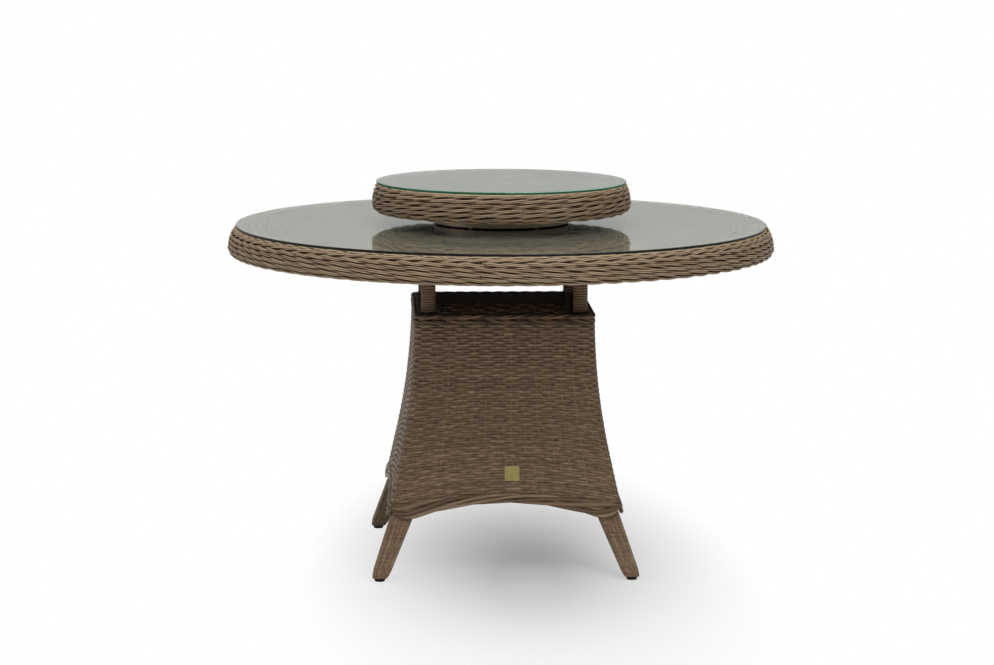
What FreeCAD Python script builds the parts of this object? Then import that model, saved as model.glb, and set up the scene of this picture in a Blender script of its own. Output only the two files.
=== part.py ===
import FreeCAD, Part
import math
import os

import Sketcher

# A round woven dining table with a glass top, and a woven lazy susan with a glass top standing on it.
# Millimetres. The floor is z = 0, +Z is up, the axis of the table is the Z axis and its front is -Y.

# Driving sizes: name, number, meaning
SIZES = (
    ("table_height", 744, "floor to the upper face of the table glass"),
    ("glass_thickness", 6, "both panes"),
    ("glass_edge_round", 1.5, "ground edge of both panes"),
    ("pad_height", 2, "clear pads under both panes"),
    ("pad_radius", 8, "clear pads under both panes"),
    ("deck_gap", 0.3, "between a woven disc and the woven band round it"),
    ("deck_groove_half", 2.2, "V-shaped groove between two rings of a woven disc, half its width"),
    ("deck_groove_depth", 1.8, "V-shaped groove between two rings of a woven disc"),
    ("table_glass_inset", 16, "table pane's edge inside the widest part of the band"),
    ("table_pad_inset", 21, "table pads' circle inside the band's upper lip"),
    ("table_radius", 600, "widest part of the table's woven band"),
    ("table_rim_depth", 56, "woven band, top to bottom"),
    ("table_rim_wall", 6, "woven band and disc, thickness"),
    ("table_rim_upper_round", 65, "woven band, bend above its widest part"),
    ("table_rim_lower_round", 17, "woven band, bend below its widest part"),
    ("table_rim_top_width", 44, "woven band, from its widest part to its upper lip"),
    ("table_rim_low_width", 52, "woven band, from its widest part to its lower lip"),
    ("table_hoop_inset", 13, "hoops' circle inside the start of the band's lower bend"),
    ("table_hoop_tube", 8, "hoop tube, outer radius"),
    ("hoop_wall", 1.5, "hoop tubes"),
    ("table_strut_radius", 5, "rods between the hoops"),
    ("bar_width", 40, "tubes under the table deck"),
    ("bar_height", 20, "tubes under the table deck"),
    ("bar_wall", 2, "tubes under the table deck"),
    ("post_offset", 164.5, "post centre to the table's axis, along X and along Y"),
    ("head_plate_side", 70, "plate on a post's head"),
    ("head_plate_thickness", 4, "plate on a post's head"),
    ("bolt_offset", 25, "bolt to post centre, along the bar"),
    ("bolt_radius", 3, "shank"),
    ("bolt_clearance", 0.3, "round the shank in the head plate"),
    ("bolt_length", 16, "shank under the head"),
    ("bolt_head_radius", 5, "bolt head"),
    ("bolt_head_height", 4, "bolt head"),
    ("washer_radius", 6.5, "washer"),
    ("washer_thickness", 1.5, "washer"),
    ("insert_radius", 4.5, "threaded insert in the bar"),
    ("insert_length", 12, "threaded insert in the bar"),
    ("leg_tube_radius", 10, "leg tube, outer"),
    ("leg_tube_wall", 2, "leg tube"),
    ("bend_share", 0.373, "middle of the tube's long bend, as a share of the way from skirt top to knee"),
    ("knee_height", 192, "where the tube turns outward to the foot"),
    ("knee_inset", 60.6, "tube's middle to the skirt's corner at the knee, along the diagonal"),
    ("knee_radius", 120, "bend of the tube at the knee"),
    ("splay_angle", 28.9, "foot's lean from upright, in degrees"),
    ("strand_radius", 2.25, "strand wound round the posts"),
    ("strand_gap", 0.3, "strand to post"),
    ("strand_spacing", 0.5, "between the turns of the strand"),
    ("strand_bend", 6, "bend at the strand's ends"),
    ("post_show", 141, "bare post between the skirt and the head plate"),
    ("skirt_half_width", 195.5, "skirt's axis to its outer face at the top"),
    ("skirt_wall", 7, "woven panel"),
    ("skirt_bend_radius", 1450, "hollow curve of the panels"),
    ("flare_end", 260, "below this the panels are straight"),
    ("arch_height", 163.5, "middle of the skirt's arched lower edge"),
    ("arch_radius", 600, "skirt's arched lower edge"),
    ("arch_reach", 185, "middle of the lower edge to the end of its arch"),
    ("dip_radius", 60, "hollow of the lower edge beside each leg"),
    ("dip_angle", 55, "rise of the lower edge to the corner, in degrees"),
    ("top_braid_height", 20, "plaited upper border"),
    ("top_braid_thickness", 8, "plaited upper border"),
    ("top_braid_round", 6, "corners of the upper border"),
    ("top_rail_height", 25, "rail behind the upper border"),
    ("hem_height", 12, "twisted lower hem"),
    ("hem_proud", 1.5, "hem stands out from the panel"),
    ("hem_thickness", 9, "twisted lower hem"),
    ("hem_rail_height", 12, "flat rail above the hem"),
    ("hem_rail_thickness", 3, "flat rail above the hem"),
    ("stay_radius", 4, "rods from the legs to the hem rails"),
    ("sleeve_gap", 10, "upper end of the woven foot to the rods above it"),
    ("sleeve_half_top", 24, "woven foot, half width at its top"),
    ("sleeve_half_bottom", 17.5, "woven foot, half width at its bottom"),
    ("sleeve_round", 7, "woven foot, corners"),
    ("glide_height", 8, "black plug under the foot"),
    ("glide_radius", 10.5, "black plug, at the floor"),
    ("glide_top_radius", 13, "black plug, under the foot"),
    ("glide_plug_length", 25, "part of the plug inside the tube"),
    ("glide_plug_clearance", 0.1, "plug in the tube"),
    ("plate_side", 32, "blank name plate"),
    ("plate_round", 3, "corners of the name plate"),
    ("plate_thickness", 1.2, "name plate"),
    ("plate_across", 14, "name plate's middle to the right of the panel's"),
    ("plate_up", 226, "name plate's middle above the floor"),
    ("rivet_offset", 12, "rivet to the plate's middle"),
    ("rivet_radius", 1.2, "rivet shank"),
    ("rivet_head_radius", 2.2, "rivet head"),
    ("rivet_head_height", 0.9, "rivet head"),
    ("base_pad_height", 3, "clear feet of the lazy susan"),
    ("base_pad_radius", 6, "clear feet of the lazy susan"),
    ("base_pad_ring", 140, "circle of those feet"),
    ("base_ring_outer", 149, "ring on the clear feet"),
    ("base_ring_inner", 118, "ring on the clear feet"),
    ("base_ring_height", 9.5, "ring on the clear feet"),
    ("base_ring_wall", 2, "ring on the clear feet"),
    ("race_outer", 148, "bearing races"),
    ("race_inner", 121, "bearing races"),
    ("race_thickness", 5, "bearing races"),
    ("race_gap", 4.5, "between the races"),
    ("ball_radius", 4, "bearing balls"),
    ("ball_ring", 135, "circle of the balls"),
    ("ball_clearance", 0.3, "balls to races"),
    ("cage_thickness", 2.5, "ball cage"),
    ("cage_half_width", 5.5, "ball cage"),
    ("cage_clearance", 0.2, "balls to cage"),
    ("screw_radius", 2, "bearing screws"),
    ("screw_head_radius", 3.5, "bearing screws"),
    ("screw_head_height", 2.2, "bearing screws"),
    ("lower_screw_ring", 143.5, "screws of the lower race"),
    ("upper_screw_ring", 126.5, "screws of the upper race"),
    ("bearing_plate_outer", 149, "plate on the upper race"),
    ("bearing_plate_inner", 115, "plate on the upper race"),
    ("bearing_plate_thickness", 5, "plate on the upper race"),
    ("plate_screw_ring", 132, "screws of that plate"),
    ("susan_bar_width", 25, "tubes in the lazy susan"),
    ("susan_bar_wall", 1.5, "tubes in the lazy susan"),
    ("susan_bar_offset", 100, "those tubes to the axis"),
    ("susan_radius", 284.5, "widest part of the lazy susan's woven band"),
    ("susan_rim_depth", 59, "woven band, top to bottom"),
    ("susan_rim_wall", 5, "woven band and disc, thickness"),
    ("susan_rim_upper_round", 90, "woven band, bend above its widest part"),
    ("susan_rim_lower_round", 20, "woven band, bend below its widest part"),
    ("susan_rim_top_width", 40.5, "woven band, from its widest part to its upper lip"),
    ("susan_rim_low_width", 46.5, "woven band, from its widest part to its lower lip"),
    ("susan_hoop_inset", 10.5, "hoops' circle inside the start of the band's lower bend"),
    ("susan_hoop_tube", 7, "hoop tube, outer radius"),
    ("susan_strut_radius", 4, "rods between the hoops"),
    ("susan_glass_inset", 9.5, "pane's edge inside the widest part of the band"),
    ("susan_pad_inset", 16, "pads' circle inside the band's upper lip"),
)

# Counts of like pieces
TABLE_PADS = 8
TABLE_DECK_RINGS = 58
TABLE_STRUTS = 12
MOST_STRAND_TURNS = 24
BASE_PADS = 6
BALLS = 24
RACE_SCREWS = 6
SUSAN_STRUTS = 8
SUSAN_PADS = 6
SUSAN_DECK_RINGS = 26

CORNERS = ("front_right", "back_right", "back_left", "front_left")
SIDES = ("front", "right", "back", "left")
QUARTER_TURN = 90

# Small numbers that absorb rounding
PARALLEL = 1e-9
ROUNDING = 1e-6

doc = FreeCAD.newDocument("wicker_table")
dims = doc.addObject("Spreadsheet::Sheet", "dims")
for row, (alias, size, meaning) in enumerate(SIZES, start=1):
    dims.set(f"A{row}", meaning)
    dims.set(f"B{row}", str(size))
    dims.setAlias(f"B{row}", alias)
doc.recompute()

# Heights and radii worked out from the driving sizes
GLASS_BASE = "(dims.table_height - dims.glass_thickness)"
DECK_TOP = f"({GLASS_BASE} - dims.pad_height)"
BAR_TOP = f"({DECK_TOP} - dims.table_rim_wall)"
BAR_BASE = f"({BAR_TOP} - dims.bar_height)"
POST_HEAD = f"({BAR_BASE} - dims.head_plate_thickness)"
RIM_BASE = f"({DECK_TOP} - dims.table_rim_depth)"
UPPER_HOOP = f"({DECK_TOP} - dims.table_rim_wall - dims.table_hoop_tube)"
LOWER_HOOP = f"({RIM_BASE} + dims.table_rim_wall + dims.table_hoop_tube)"
TABLE_TOP_LIP = "(dims.table_radius - dims.table_rim_top_width)"
TABLE_LOW_LIP = "(dims.table_radius - dims.table_rim_low_width)"
TABLE_HOOP = "(dims.table_radius - dims.table_rim_lower_round - dims.table_hoop_inset)"
HOOP_INSIDE = f"({TABLE_HOOP} - dims.table_hoop_tube)"
SKIRT_TOP = f"({POST_HEAD} - dims.post_show)"
FLARE = f"asin(({SKIRT_TOP} - dims.flare_end) / dims.skirt_bend_radius)"
FLARE_OFFSET = f"(dims.skirt_half_width + dims.skirt_bend_radius * (1 - cos({FLARE})))"
KNEE_CORNER = f"({FLARE_OFFSET} + (dims.flare_end - dims.knee_height) * tan({FLARE}))"
TUBE_TOP_REACH = "(dims.post_offset * sqrt(2))"
KNEE_REACH = f"({KNEE_CORNER} * sqrt(2) - dims.knee_inset)"
BEND_DROP = f"(dims.bend_share * ({SKIRT_TOP} - dims.knee_height))"
BEND_HEIGHT = f"({SKIRT_TOP} - {BEND_DROP})"
TUBE_LEAN = f"atan(({KNEE_REACH} - {TUBE_TOP_REACH}) / ({BEND_HEIGHT} - dims.knee_height))"
LEG_BEND_RADIUS = f"({BEND_DROP} / tan({TUBE_LEAN} / 2))"
KNEE_TANGENT = f"(dims.knee_radius * tan((dims.splay_angle - {TUBE_LEAN} / 1 deg) / 2))"
PANEL_TOP = f"({SKIRT_TOP} - dims.top_braid_height)"
PANEL_INSIDE = "(dims.skirt_half_width - dims.skirt_wall)"
RAIL_INSIDE = "(dims.post_offset + dims.leg_tube_radius)"
ARCH_MIDDLE = "(dims.arch_height - dims.arch_radius)"
ARCH_ANGLE = "asin(dims.arch_reach / dims.arch_radius)"
DIP_MIDDLE_X = f"((dims.arch_radius + dims.dip_radius) * sin({ARCH_ANGLE}))"
DIP_MIDDLE_Z = f"({ARCH_MIDDLE} + (dims.arch_radius + dims.dip_radius) * cos({ARCH_ANGLE}))"
HEM_RAIL_DIP = "(dims.dip_radius - dims.hem_height - dims.stay_radius - dims.hem_rail_height / 2)"
HEM_RAIL_X = f"({DIP_MIDDLE_X} + {HEM_RAIL_DIP} * sin(dims.dip_angle))"
HEM_RAIL_Z = f"({DIP_MIDDLE_Z} - {HEM_RAIL_DIP} * cos(dims.dip_angle))"
HEM_RAIL_BACK = f"((dims.skirt_wall + dims.hem_rail_thickness) / cos({FLARE}))"
FLOOR_CORNER = f"({FLARE_OFFSET} + dims.flare_end * tan({FLARE}))"  # skirt's face, drawn on to the floor
STAY_RISE = f"(({FLOOR_CORNER} - {HEM_RAIL_BACK} - {HEM_RAIL_X}) * tan(dims.dip_angle))"
STAY_HEIGHT = f"(({HEM_RAIL_Z} + {STAY_RISE}) / (1 + tan(dims.dip_angle) * tan({FLARE})))"
SLEEVE_TOP = f"({STAY_HEIGHT} - dims.stay_radius - dims.sleeve_gap)"
SKIRT_REACH = "(dims.skirt_half_width + dims.arch_height)"  # wider than the skirt anywhere
BASE_RING = "(dims.table_height + dims.base_pad_height)"
LOWER_RACE = f"({BASE_RING} + dims.base_ring_height)"
BALL_HEIGHT = f"({LOWER_RACE} + dims.race_thickness + dims.race_gap / 2)"
UPPER_RACE = f"({LOWER_RACE} + dims.race_thickness + dims.race_gap)"
BEARING_PLATE = f"({UPPER_RACE} + dims.race_thickness)"
SUSAN_BAR_BASE = f"({BEARING_PLATE} + dims.bearing_plate_thickness)"
SUSAN_BAR_HEIGHT = "(2 * dims.susan_hoop_tube)"
SUSAN_RIM_BASE = f"({SUSAN_BAR_BASE} - dims.susan_rim_wall)"
SUSAN_DECK_TOP = f"({SUSAN_RIM_BASE} + dims.susan_rim_depth)"
SUSAN_GLASS_BASE = f"({SUSAN_DECK_TOP} + dims.pad_height)"
SUSAN_LOWER_HOOP = f"({SUSAN_BAR_BASE} + dims.susan_hoop_tube)"
SUSAN_UPPER_HOOP = f"({SUSAN_DECK_TOP} - dims.susan_rim_wall - dims.susan_hoop_tube)"
SUSAN_TOP_LIP = "(dims.susan_radius - dims.susan_rim_top_width)"
SUSAN_LOW_LIP = "(dims.susan_radius - dims.susan_rim_low_width)"
SUSAN_HOOP = "(dims.susan_radius - dims.susan_rim_lower_round - dims.susan_hoop_inset)"
SUSAN_HOOP_INSIDE = f"({SUSAN_HOOP} - dims.susan_hoop_tube)"

nodes = []


def number(expression):
    """The value of an expression over the sheet."""
    return float(dims.evalExpression(expression))


def bind(item, expressions):
    for path, expression in expressions.items():
        item.setExpression(path, expression)


def place(item, x, y, z):
    bind(item, {"Placement.Base.x": x, "Placement.Base.y": y, "Placement.Base.z": z})


def node(item, label):
    """Marks an object as a finished sub-part."""
    item.Label = label
    nodes.append(item)
    return item


def turn_about_axis(item, degrees):
    """Turns an object about the table's axis."""
    item.Placement = FreeCAD.Placement(FreeCAD.Vector(), FreeCAD.Rotation(FreeCAD.Vector(0, 0, 1), degrees))


# Primitives and booleans


def block(name, low, span):
    box = doc.addObject("Part::Box", name)
    bind(box, dict(zip(("Length", "Width", "Height"), span)))
    place(box, *low)
    return box


def rod(name, radius, height, x="0", y="0", z="0"):
    cylinder = doc.addObject("Part::Cylinder", name)
    bind(cylinder, {"Radius": radius, "Height": height})
    place(cylinder, x, y, z)
    return cylinder


def cone(name, low_radius, high_radius, height, z):
    taper = doc.addObject("Part::Cone", name)
    bind(taper, {"Radius1": low_radius, "Radius2": high_radius, "Height": height})
    place(taper, "0", "0", z)
    return taper


def torus(name, ring, tube, z):
    hoop = doc.addObject("Part::Torus", name)
    bind(hoop, {"Radius1": ring, "Radius2": tube})
    place(hoop, "0", "0", z)
    return hoop


def boolean(kind, name, base, tool):
    result = doc.addObject(f"Part::{kind}", name)
    result.Base = base
    result.Tool = tool
    return result


def group(name, items):
    compound = doc.addObject("Part::Compound", name)
    compound.Links = items
    return compound


def circle_places(count, radius, start=0):
    """Expressions of x and y for count places evenly round a circle, the first at the start angle."""
    angles = [start + 360 * i / count for i in range(count)]
    return [(f"({radius} * cos({angle}))", f"({radius} * sin({angle}))") for angle in angles]


def rods_at(name, places, radius, height, z):
    rods = [rod(f"{name}_{i}", radius, height, x, y, z) for i, (x, y) in enumerate(places)]
    return group(name, rods)


# Sketches

# An edge's points in the order in which the sketcher counts them, and the distances from its axes,
# which it counts backwards from -1
POINTS = ("none", "start", "end", "centre")
DISTANCES = ("DistanceY", "DistanceX")


def new_sketch(body, name, role, lift=None):
    """A sketch on one of a body's own origin planes, raised along the plane's normal if lift is given."""
    plane = next(item for item in body.Origin.OriginFeatures if item.Role == role)
    sketch = body.newObject("Sketcher::SketchObject", name)
    sketch.AttachmentSupport = [(plane, "")]
    sketch.MapMode = "FlatFace"
    if lift:
        sketch.setExpression("AttachmentOffset.Base.z", lift)
    return sketch


def lock(sketch, edge, spot, corner):
    """Ties an edge's end to the two expressions of a corner."""
    point = POINTS.index(spot)
    for kind, expression in zip(reversed(DISTANCES), corner):
        if expression == "0":
            axis = -1 - DISTANCES.index(kind)
            sketch.addConstraint(Sketcher.Constraint("PointOnObject", edge, point, axis))
        else:
            index = sketch.addConstraint(Sketcher.Constraint(kind, edge, point, number(expression)))
            sketch.setExpression(f"Constraints[{index}]", expression)


def bent_edge(start, end, radius):
    """The counter-clockwise arc, under half a circle, from start to end."""
    chord = end - start
    rise = math.sqrt(radius**2 - (chord.Length / 2) ** 2)
    left = FreeCAD.Vector(-chord.y, chord.x, 0).normalize()
    centre = (start + end) / 2 + left * rise
    first = math.atan2(start.y - centre.y, start.x - centre.x)
    last = math.atan2(end.y - centre.y, end.x - centre.x)
    if last < first:
        last += 2 * math.pi
    return Part.ArcOfCircle(Part.Circle(centre, FreeCAD.Vector(0, 0, 1), radius), first, last)


def outline(sketch, corners, closed=True):
    """Draws the edges between corners and ties every corner to the sheet.

    A corner is (x, y), or (x, y, radius, turn) where the edge that leaves it is an arc:
    turn is 1 for counter-clockwise and -1 for clockwise.
    """
    points = [FreeCAD.Vector(number(corner[0]), number(corner[1])) for corner in corners]
    first = sketch.GeometryCount
    count = len(corners) if closed else len(corners) - 1
    ends = []
    for i in range(count):
        here = points[i]
        there = points[(i + 1) % len(points)]
        if len(corners[i]) == 2:
            sketch.addGeometry(Part.LineSegment(here, there))
            ends.append(("start", "end"))
        elif corners[i][3] > 0:
            sketch.addGeometry(bent_edge(here, there, number(corners[i][2])))
            ends.append(("start", "end"))
        else:
            sketch.addGeometry(bent_edge(there, here, number(corners[i][2])))
            ends.append(("end", "start"))
    for i in range(count):
        edge = first + i
        lock(sketch, edge, ends[i][0], corners[i])
        if closed or i + 1 < count:
            after = (i + 1) % count
            here = POINTS.index(ends[i][1])
            there = POINTS.index(ends[after][0])
            sketch.addConstraint(Sketcher.Constraint("Coincident", edge, here, first + after, there))
        else:
            lock(sketch, edge, ends[i][1], corners[-1])
        if len(corners[i]) > 2:
            radius = corners[i][2]
            index = sketch.addConstraint(Sketcher.Constraint("Radius", edge, number(radius)))
            sketch.setExpression(f"Constraints[{index}]", radius)


def rounded_square(x, y, half, radius):
    """Corners of a square with rounded corners, counter-clockwise, about the middle x, y."""
    flat = f"({half} - {radius})"
    signs = ((1, -1), (1, 1), (-1, 1), (-1, -1))
    corners = []
    for i, (along, across) in enumerate(signs):
        side = (f"{x} + {along} * {half}", f"{y} + {across} * {flat}")
        end = (f"{x} + {along} * {flat}", f"{y} + {across} * {half}")
        first, last = (end, side) if i % 2 == 0 else (side, end)
        corners += [(*first, radius, 1), last]
    return corners


def turned(name, corners):
    """A body turned about the table's axis from an outline of (radius, height) corners."""
    body = doc.addObject("PartDesign::Body", name)
    sketch = new_sketch(body, f"{name}_outline", "XZ_Plane")
    outline(sketch, corners)
    turn = body.newObject("PartDesign::Revolution", f"{name}_turn")
    turn.Profile = sketch
    turn.ReferenceAxis = (sketch, ["V_Axis"])
    turn.Angle = 360
    return body


def ring(name, inner, outer, base, thickness):
    """A flat ring."""
    top = f"{base} + {thickness}"
    return turned(name, [(inner, base), (outer, base), (outer, top), (inner, top)])


def through_cut(body, name, role, loops):
    """Cuts closed outlines, drawn on an origin plane, right through a body."""
    sketch = new_sketch(body, f"{name}_outline", role)
    for corners in loops:
        outline(sketch, corners)
    pocket = body.newObject("PartDesign::Pocket", name)
    pocket.Profile = sketch
    pocket.Type = "ThroughAll"
    pocket.Midplane = True
    return pocket


# Pieces that the table top and the lazy susan share


def pane(label, radius, base):
    """A round pane with a rounded edge."""
    edge = "dims.glass_edge_round"
    flat = f"({radius} - {edge})"
    top = f"({base} + dims.glass_thickness)"
    corners = [
        ("0", base),
        (flat, base, edge, 1),
        (radius, f"{base} + {edge}"),
        (radius, f"{top} - {edge}", edge, 1),
        (flat, top),
        ("0", top),
    ]
    node(turned(label, corners), label)


def woven_band(label, radius, base, top, wall, upper_round, lower_round, top_lip, low_lip):
    """The woven band round an edge, a C that opens inward, flat on top and rounded below."""
    widest = f"({base} + {lower_round})"
    rise = f"({top} - {widest})"
    inside_rise = f"({rise} - {wall})"
    upper_middle = f"({radius} - {upper_round})"
    inside_round = f"({upper_round} - {wall})"
    corners = [
        (top_lip, f"{top} - {wall}"),
        (f"{upper_middle} + sqrt({inside_round}^2 - {inside_rise}^2)", f"{top} - {wall}", inside_round, -1),
        (f"{radius} - {wall}", widest, f"{lower_round} - {wall}", -1),
        (f"{radius} - {lower_round}", f"{base} + {wall}"),
        (low_lip, f"{base} + {wall}"),
        (low_lip, base),
        (f"{radius} - {lower_round}", base, lower_round, 1),
        (radius, widest, upper_round, 1),
        (f"{upper_middle} + sqrt({upper_round}^2 - {rise}^2)", top),
        (top_lip, top),
    ]
    node(turned(label, corners), label)


def ring_groove(name, circle, z, low_half, high_half):
    """What a V-shaped groove round a circle takes out, from half its width at z to half its width above."""
    depth = "dims.deck_groove_depth"
    outer = cone(f"{name}_outer", f"{circle} + {low_half}", f"{circle} + {high_half}", depth, z)
    inner = cone(f"{name}_inner", f"{circle} - {low_half}", f"{circle} - {high_half}", depth, z)
    return boolean("Cut", name, outer, inner)


def woven_disc(label, radius, base, wall, rings):
    """A disc of woven rings, with a V-shaped groove between neighbouring rings on both faces."""
    disc = rod(f"{label}_disc", radius, wall, z=base)
    upper = f"{base} + {wall} - dims.deck_groove_depth"
    half = "dims.deck_groove_half"
    grooves = []
    for i in range(1, rings):
        circle = f"{radius} * {i} / {rings}"
        grooves.append(ring_groove(f"{label}_upper_{i}", circle, upper, "0", half))
        grooves.append(ring_groove(f"{label}_lower_{i}", circle, base, half, "0"))
    node(boolean("Cut", f"{label}_grooved", disc, group(f"{label}_grooves", grooves)), label)


def hoop(label, radius, tube, z):
    bore = torus(f"{label}_bore", radius, f"{tube} - dims.hoop_wall", z)
    node(boolean("Cut", label, torus(f"{label}_tube", radius, tube, z), bore), label)


def hoop_struts(label, count, radius, tube, rod_radius, low, high):
    """Upright rods between two hoops, their ends cut to fit the tubes."""
    half_step = 180 / count
    places = circle_places(count, radius, half_step)
    rods = rods_at(f"{label}_rods", places, rod_radius, f"{high} - {low}", low)
    tubes = [torus(f"{label}_tube_{i}", radius, tube, z) for i, z in enumerate((low, high))]
    hoops = group(f"{label}_tubes", tubes)
    node(boolean("Cut", label, rods, hoops), label)


def box_tube(name, low, span, along, wall):
    """A rectangular tube that runs along axis 0 (X) or 1 (Y)."""
    bore_low = [edge if axis == along else f"{edge} + {wall}" for axis, edge in enumerate(low)]
    bore_span = [size if axis == along else f"{size} - 2 * {wall}" for axis, size in enumerate(span)]
    outside = block(f"{name}_outside", low, span)
    bore = block(f"{name}_bore", bore_low, bore_span)
    return boolean("Cut", name, outside, bore)


def fitted_bars(name, bars, radius, base, height):
    """Bars with their ends cut to the round inside of a hoop."""
    inside = rod(f"{name}_inside", radius, height, z=base)
    return boolean("Common", name, group(f"{name}_all", bars), inside)


# Table top


def table_top():
    pane("table_glass", "(dims.table_radius - dims.table_glass_inset)", GLASS_BASE)
    pad_ring = f"({TABLE_TOP_LIP} - dims.table_pad_inset)"
    pad_places = circle_places(TABLE_PADS, pad_ring, 180 / TABLE_PADS)
    pads = rods_at("table_pads", pad_places, "dims.pad_radius", "dims.pad_height", DECK_TOP)
    node(pads, "table_glass_pads")
    woven_band(
        "table_rim_weave",
        "dims.table_radius",
        RIM_BASE,
        DECK_TOP,
        "dims.table_rim_wall",
        "dims.table_rim_upper_round",
        "dims.table_rim_lower_round",
        TABLE_TOP_LIP,
        TABLE_LOW_LIP,
    )
    deck_radius = f"({TABLE_TOP_LIP} - dims.deck_gap)"
    woven_disc("table_deck_weave", deck_radius, BAR_TOP, "dims.table_rim_wall", TABLE_DECK_RINGS)
    hoop("table_hoop_upper", TABLE_HOOP, "dims.table_hoop_tube", UPPER_HOOP)
    hoop("table_hoop_lower", TABLE_HOOP, "dims.table_hoop_tube", LOWER_HOOP)
    hoop_struts(
        "table_hoop_struts",
        TABLE_STRUTS,
        TABLE_HOOP,
        "dims.table_hoop_tube",
        "dims.table_strut_radius",
        LOWER_HOOP,
        UPPER_HOOP,
    )


def bolt_places():
    """Two bolts on each post, along the bar that runs over it."""
    places = []
    for across in (-1, 1):
        for post in (-1, 1):
            for bolt in (-1, 1):
                x = f"({post} * dims.post_offset + {bolt} * dims.bolt_offset)"
                places.append((x, f"({across} * dims.post_offset)"))
    return places


def table_bars():
    """Two long bars over the posts, with cross bars between them and out to the hoop."""
    half = "dims.bar_width / 2"
    length = "dims.table_radius"
    long_bars = []
    cross_bars = []
    for i, side in enumerate((-1, 1)):
        middle = f"({side} * dims.post_offset)"
        long_bars.append(
            box_tube(
                f"long_bar_{i}",
                (f"-{length}", f"{middle} - {half}", BAR_BASE),
                (f"2 * {length}", "dims.bar_width", "dims.bar_height"),
                0,
                "dims.bar_wall",
            )
        )
        inner = f"(dims.post_offset - {half})"
        outer = f"(dims.post_offset + {half})"
        spans = ((f"-{inner}", f"2 * {inner}"), (outer, length), (f"-{outer} - {length}", length))
        for j, (low, span) in enumerate(spans):
            cross_bars.append(
                box_tube(
                    f"cross_bar_{i}_{j}",
                    (f"{middle} - {half}", low, BAR_BASE),
                    ("dims.bar_width", span, "dims.bar_height"),
                    1,
                    "dims.bar_wall",
                )
            )
    fitted = fitted_bars("long_bars_fitted", long_bars, HOOP_INSIDE, BAR_BASE, "dims.bar_height")
    holes = rods_at("insert_holes", bolt_places(), "dims.insert_radius", "dims.bar_wall", BAR_BASE)
    node(boolean("Cut", "long_bars", fitted, holes), "table_long_bars")
    node(fitted_bars("cross_bars", cross_bars, HOOP_INSIDE, BAR_BASE, "dims.bar_height"), "table_cross_bars")


def post_fastenings():
    """Head plates of the posts, and the bolts, washers and inserts that hold the top on them."""
    places = bolt_places()
    half = "dims.head_plate_side / 2"
    span = ("dims.head_plate_side", "dims.head_plate_side", "dims.head_plate_thickness")
    plates = []
    for i, (x, y) in enumerate(((-1, -1), (1, -1), (1, 1), (-1, 1))):
        low = (f"{x} * dims.post_offset - {half}", f"{y} * dims.post_offset - {half}", POST_HEAD)
        plates.append(block(f"head_plate_{i}", low, span))
    clear = "dims.bolt_radius + dims.bolt_clearance"
    holes = rods_at("plate_holes", places, clear, "dims.head_plate_thickness", POST_HEAD)
    node(boolean("Cut", "head_plates", group("plain_plates", plates), holes), "post_head_plates")

    inserts = rods_at("insert_bodies", places, "dims.insert_radius", "dims.insert_length", BAR_BASE)
    threads = rods_at("insert_threads", places, "dims.bolt_radius", "dims.insert_length", BAR_BASE)
    node(boolean("Cut", "inserts", inserts, threads), "bar_thread_inserts")

    washer_base = f"({POST_HEAD} - dims.washer_thickness)"
    discs = rods_at("washer_discs", places, "dims.washer_radius", "dims.washer_thickness", washer_base)
    bores = rods_at("washer_bores", places, clear, "dims.washer_thickness", washer_base)
    node(boolean("Cut", "washers", discs, bores), "post_bolt_washers")

    bolts = []
    for i, (x, y) in enumerate(places):
        head_base = f"{washer_base} - dims.bolt_head_height"
        head = rod(f"bolt_head_{i}", "dims.bolt_head_radius", "dims.bolt_head_height", x, y, head_base)
        shank = rod(f"bolt_shank_{i}", "dims.bolt_radius", "dims.bolt_length", x, y, washer_base)
        bolts.append(boolean("Fuse", f"bolt_{i}", head, shank))
    node(group("bolts", bolts), "post_bolts")


# Legs


def foot_offset(height):
    """Leg's middle to the table's axis, along X or Y, at a height below the knee."""
    return f"(({KNEE_REACH} + (dims.knee_height - {height}) * tan(dims.splay_angle)) / sqrt(2))"


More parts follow.
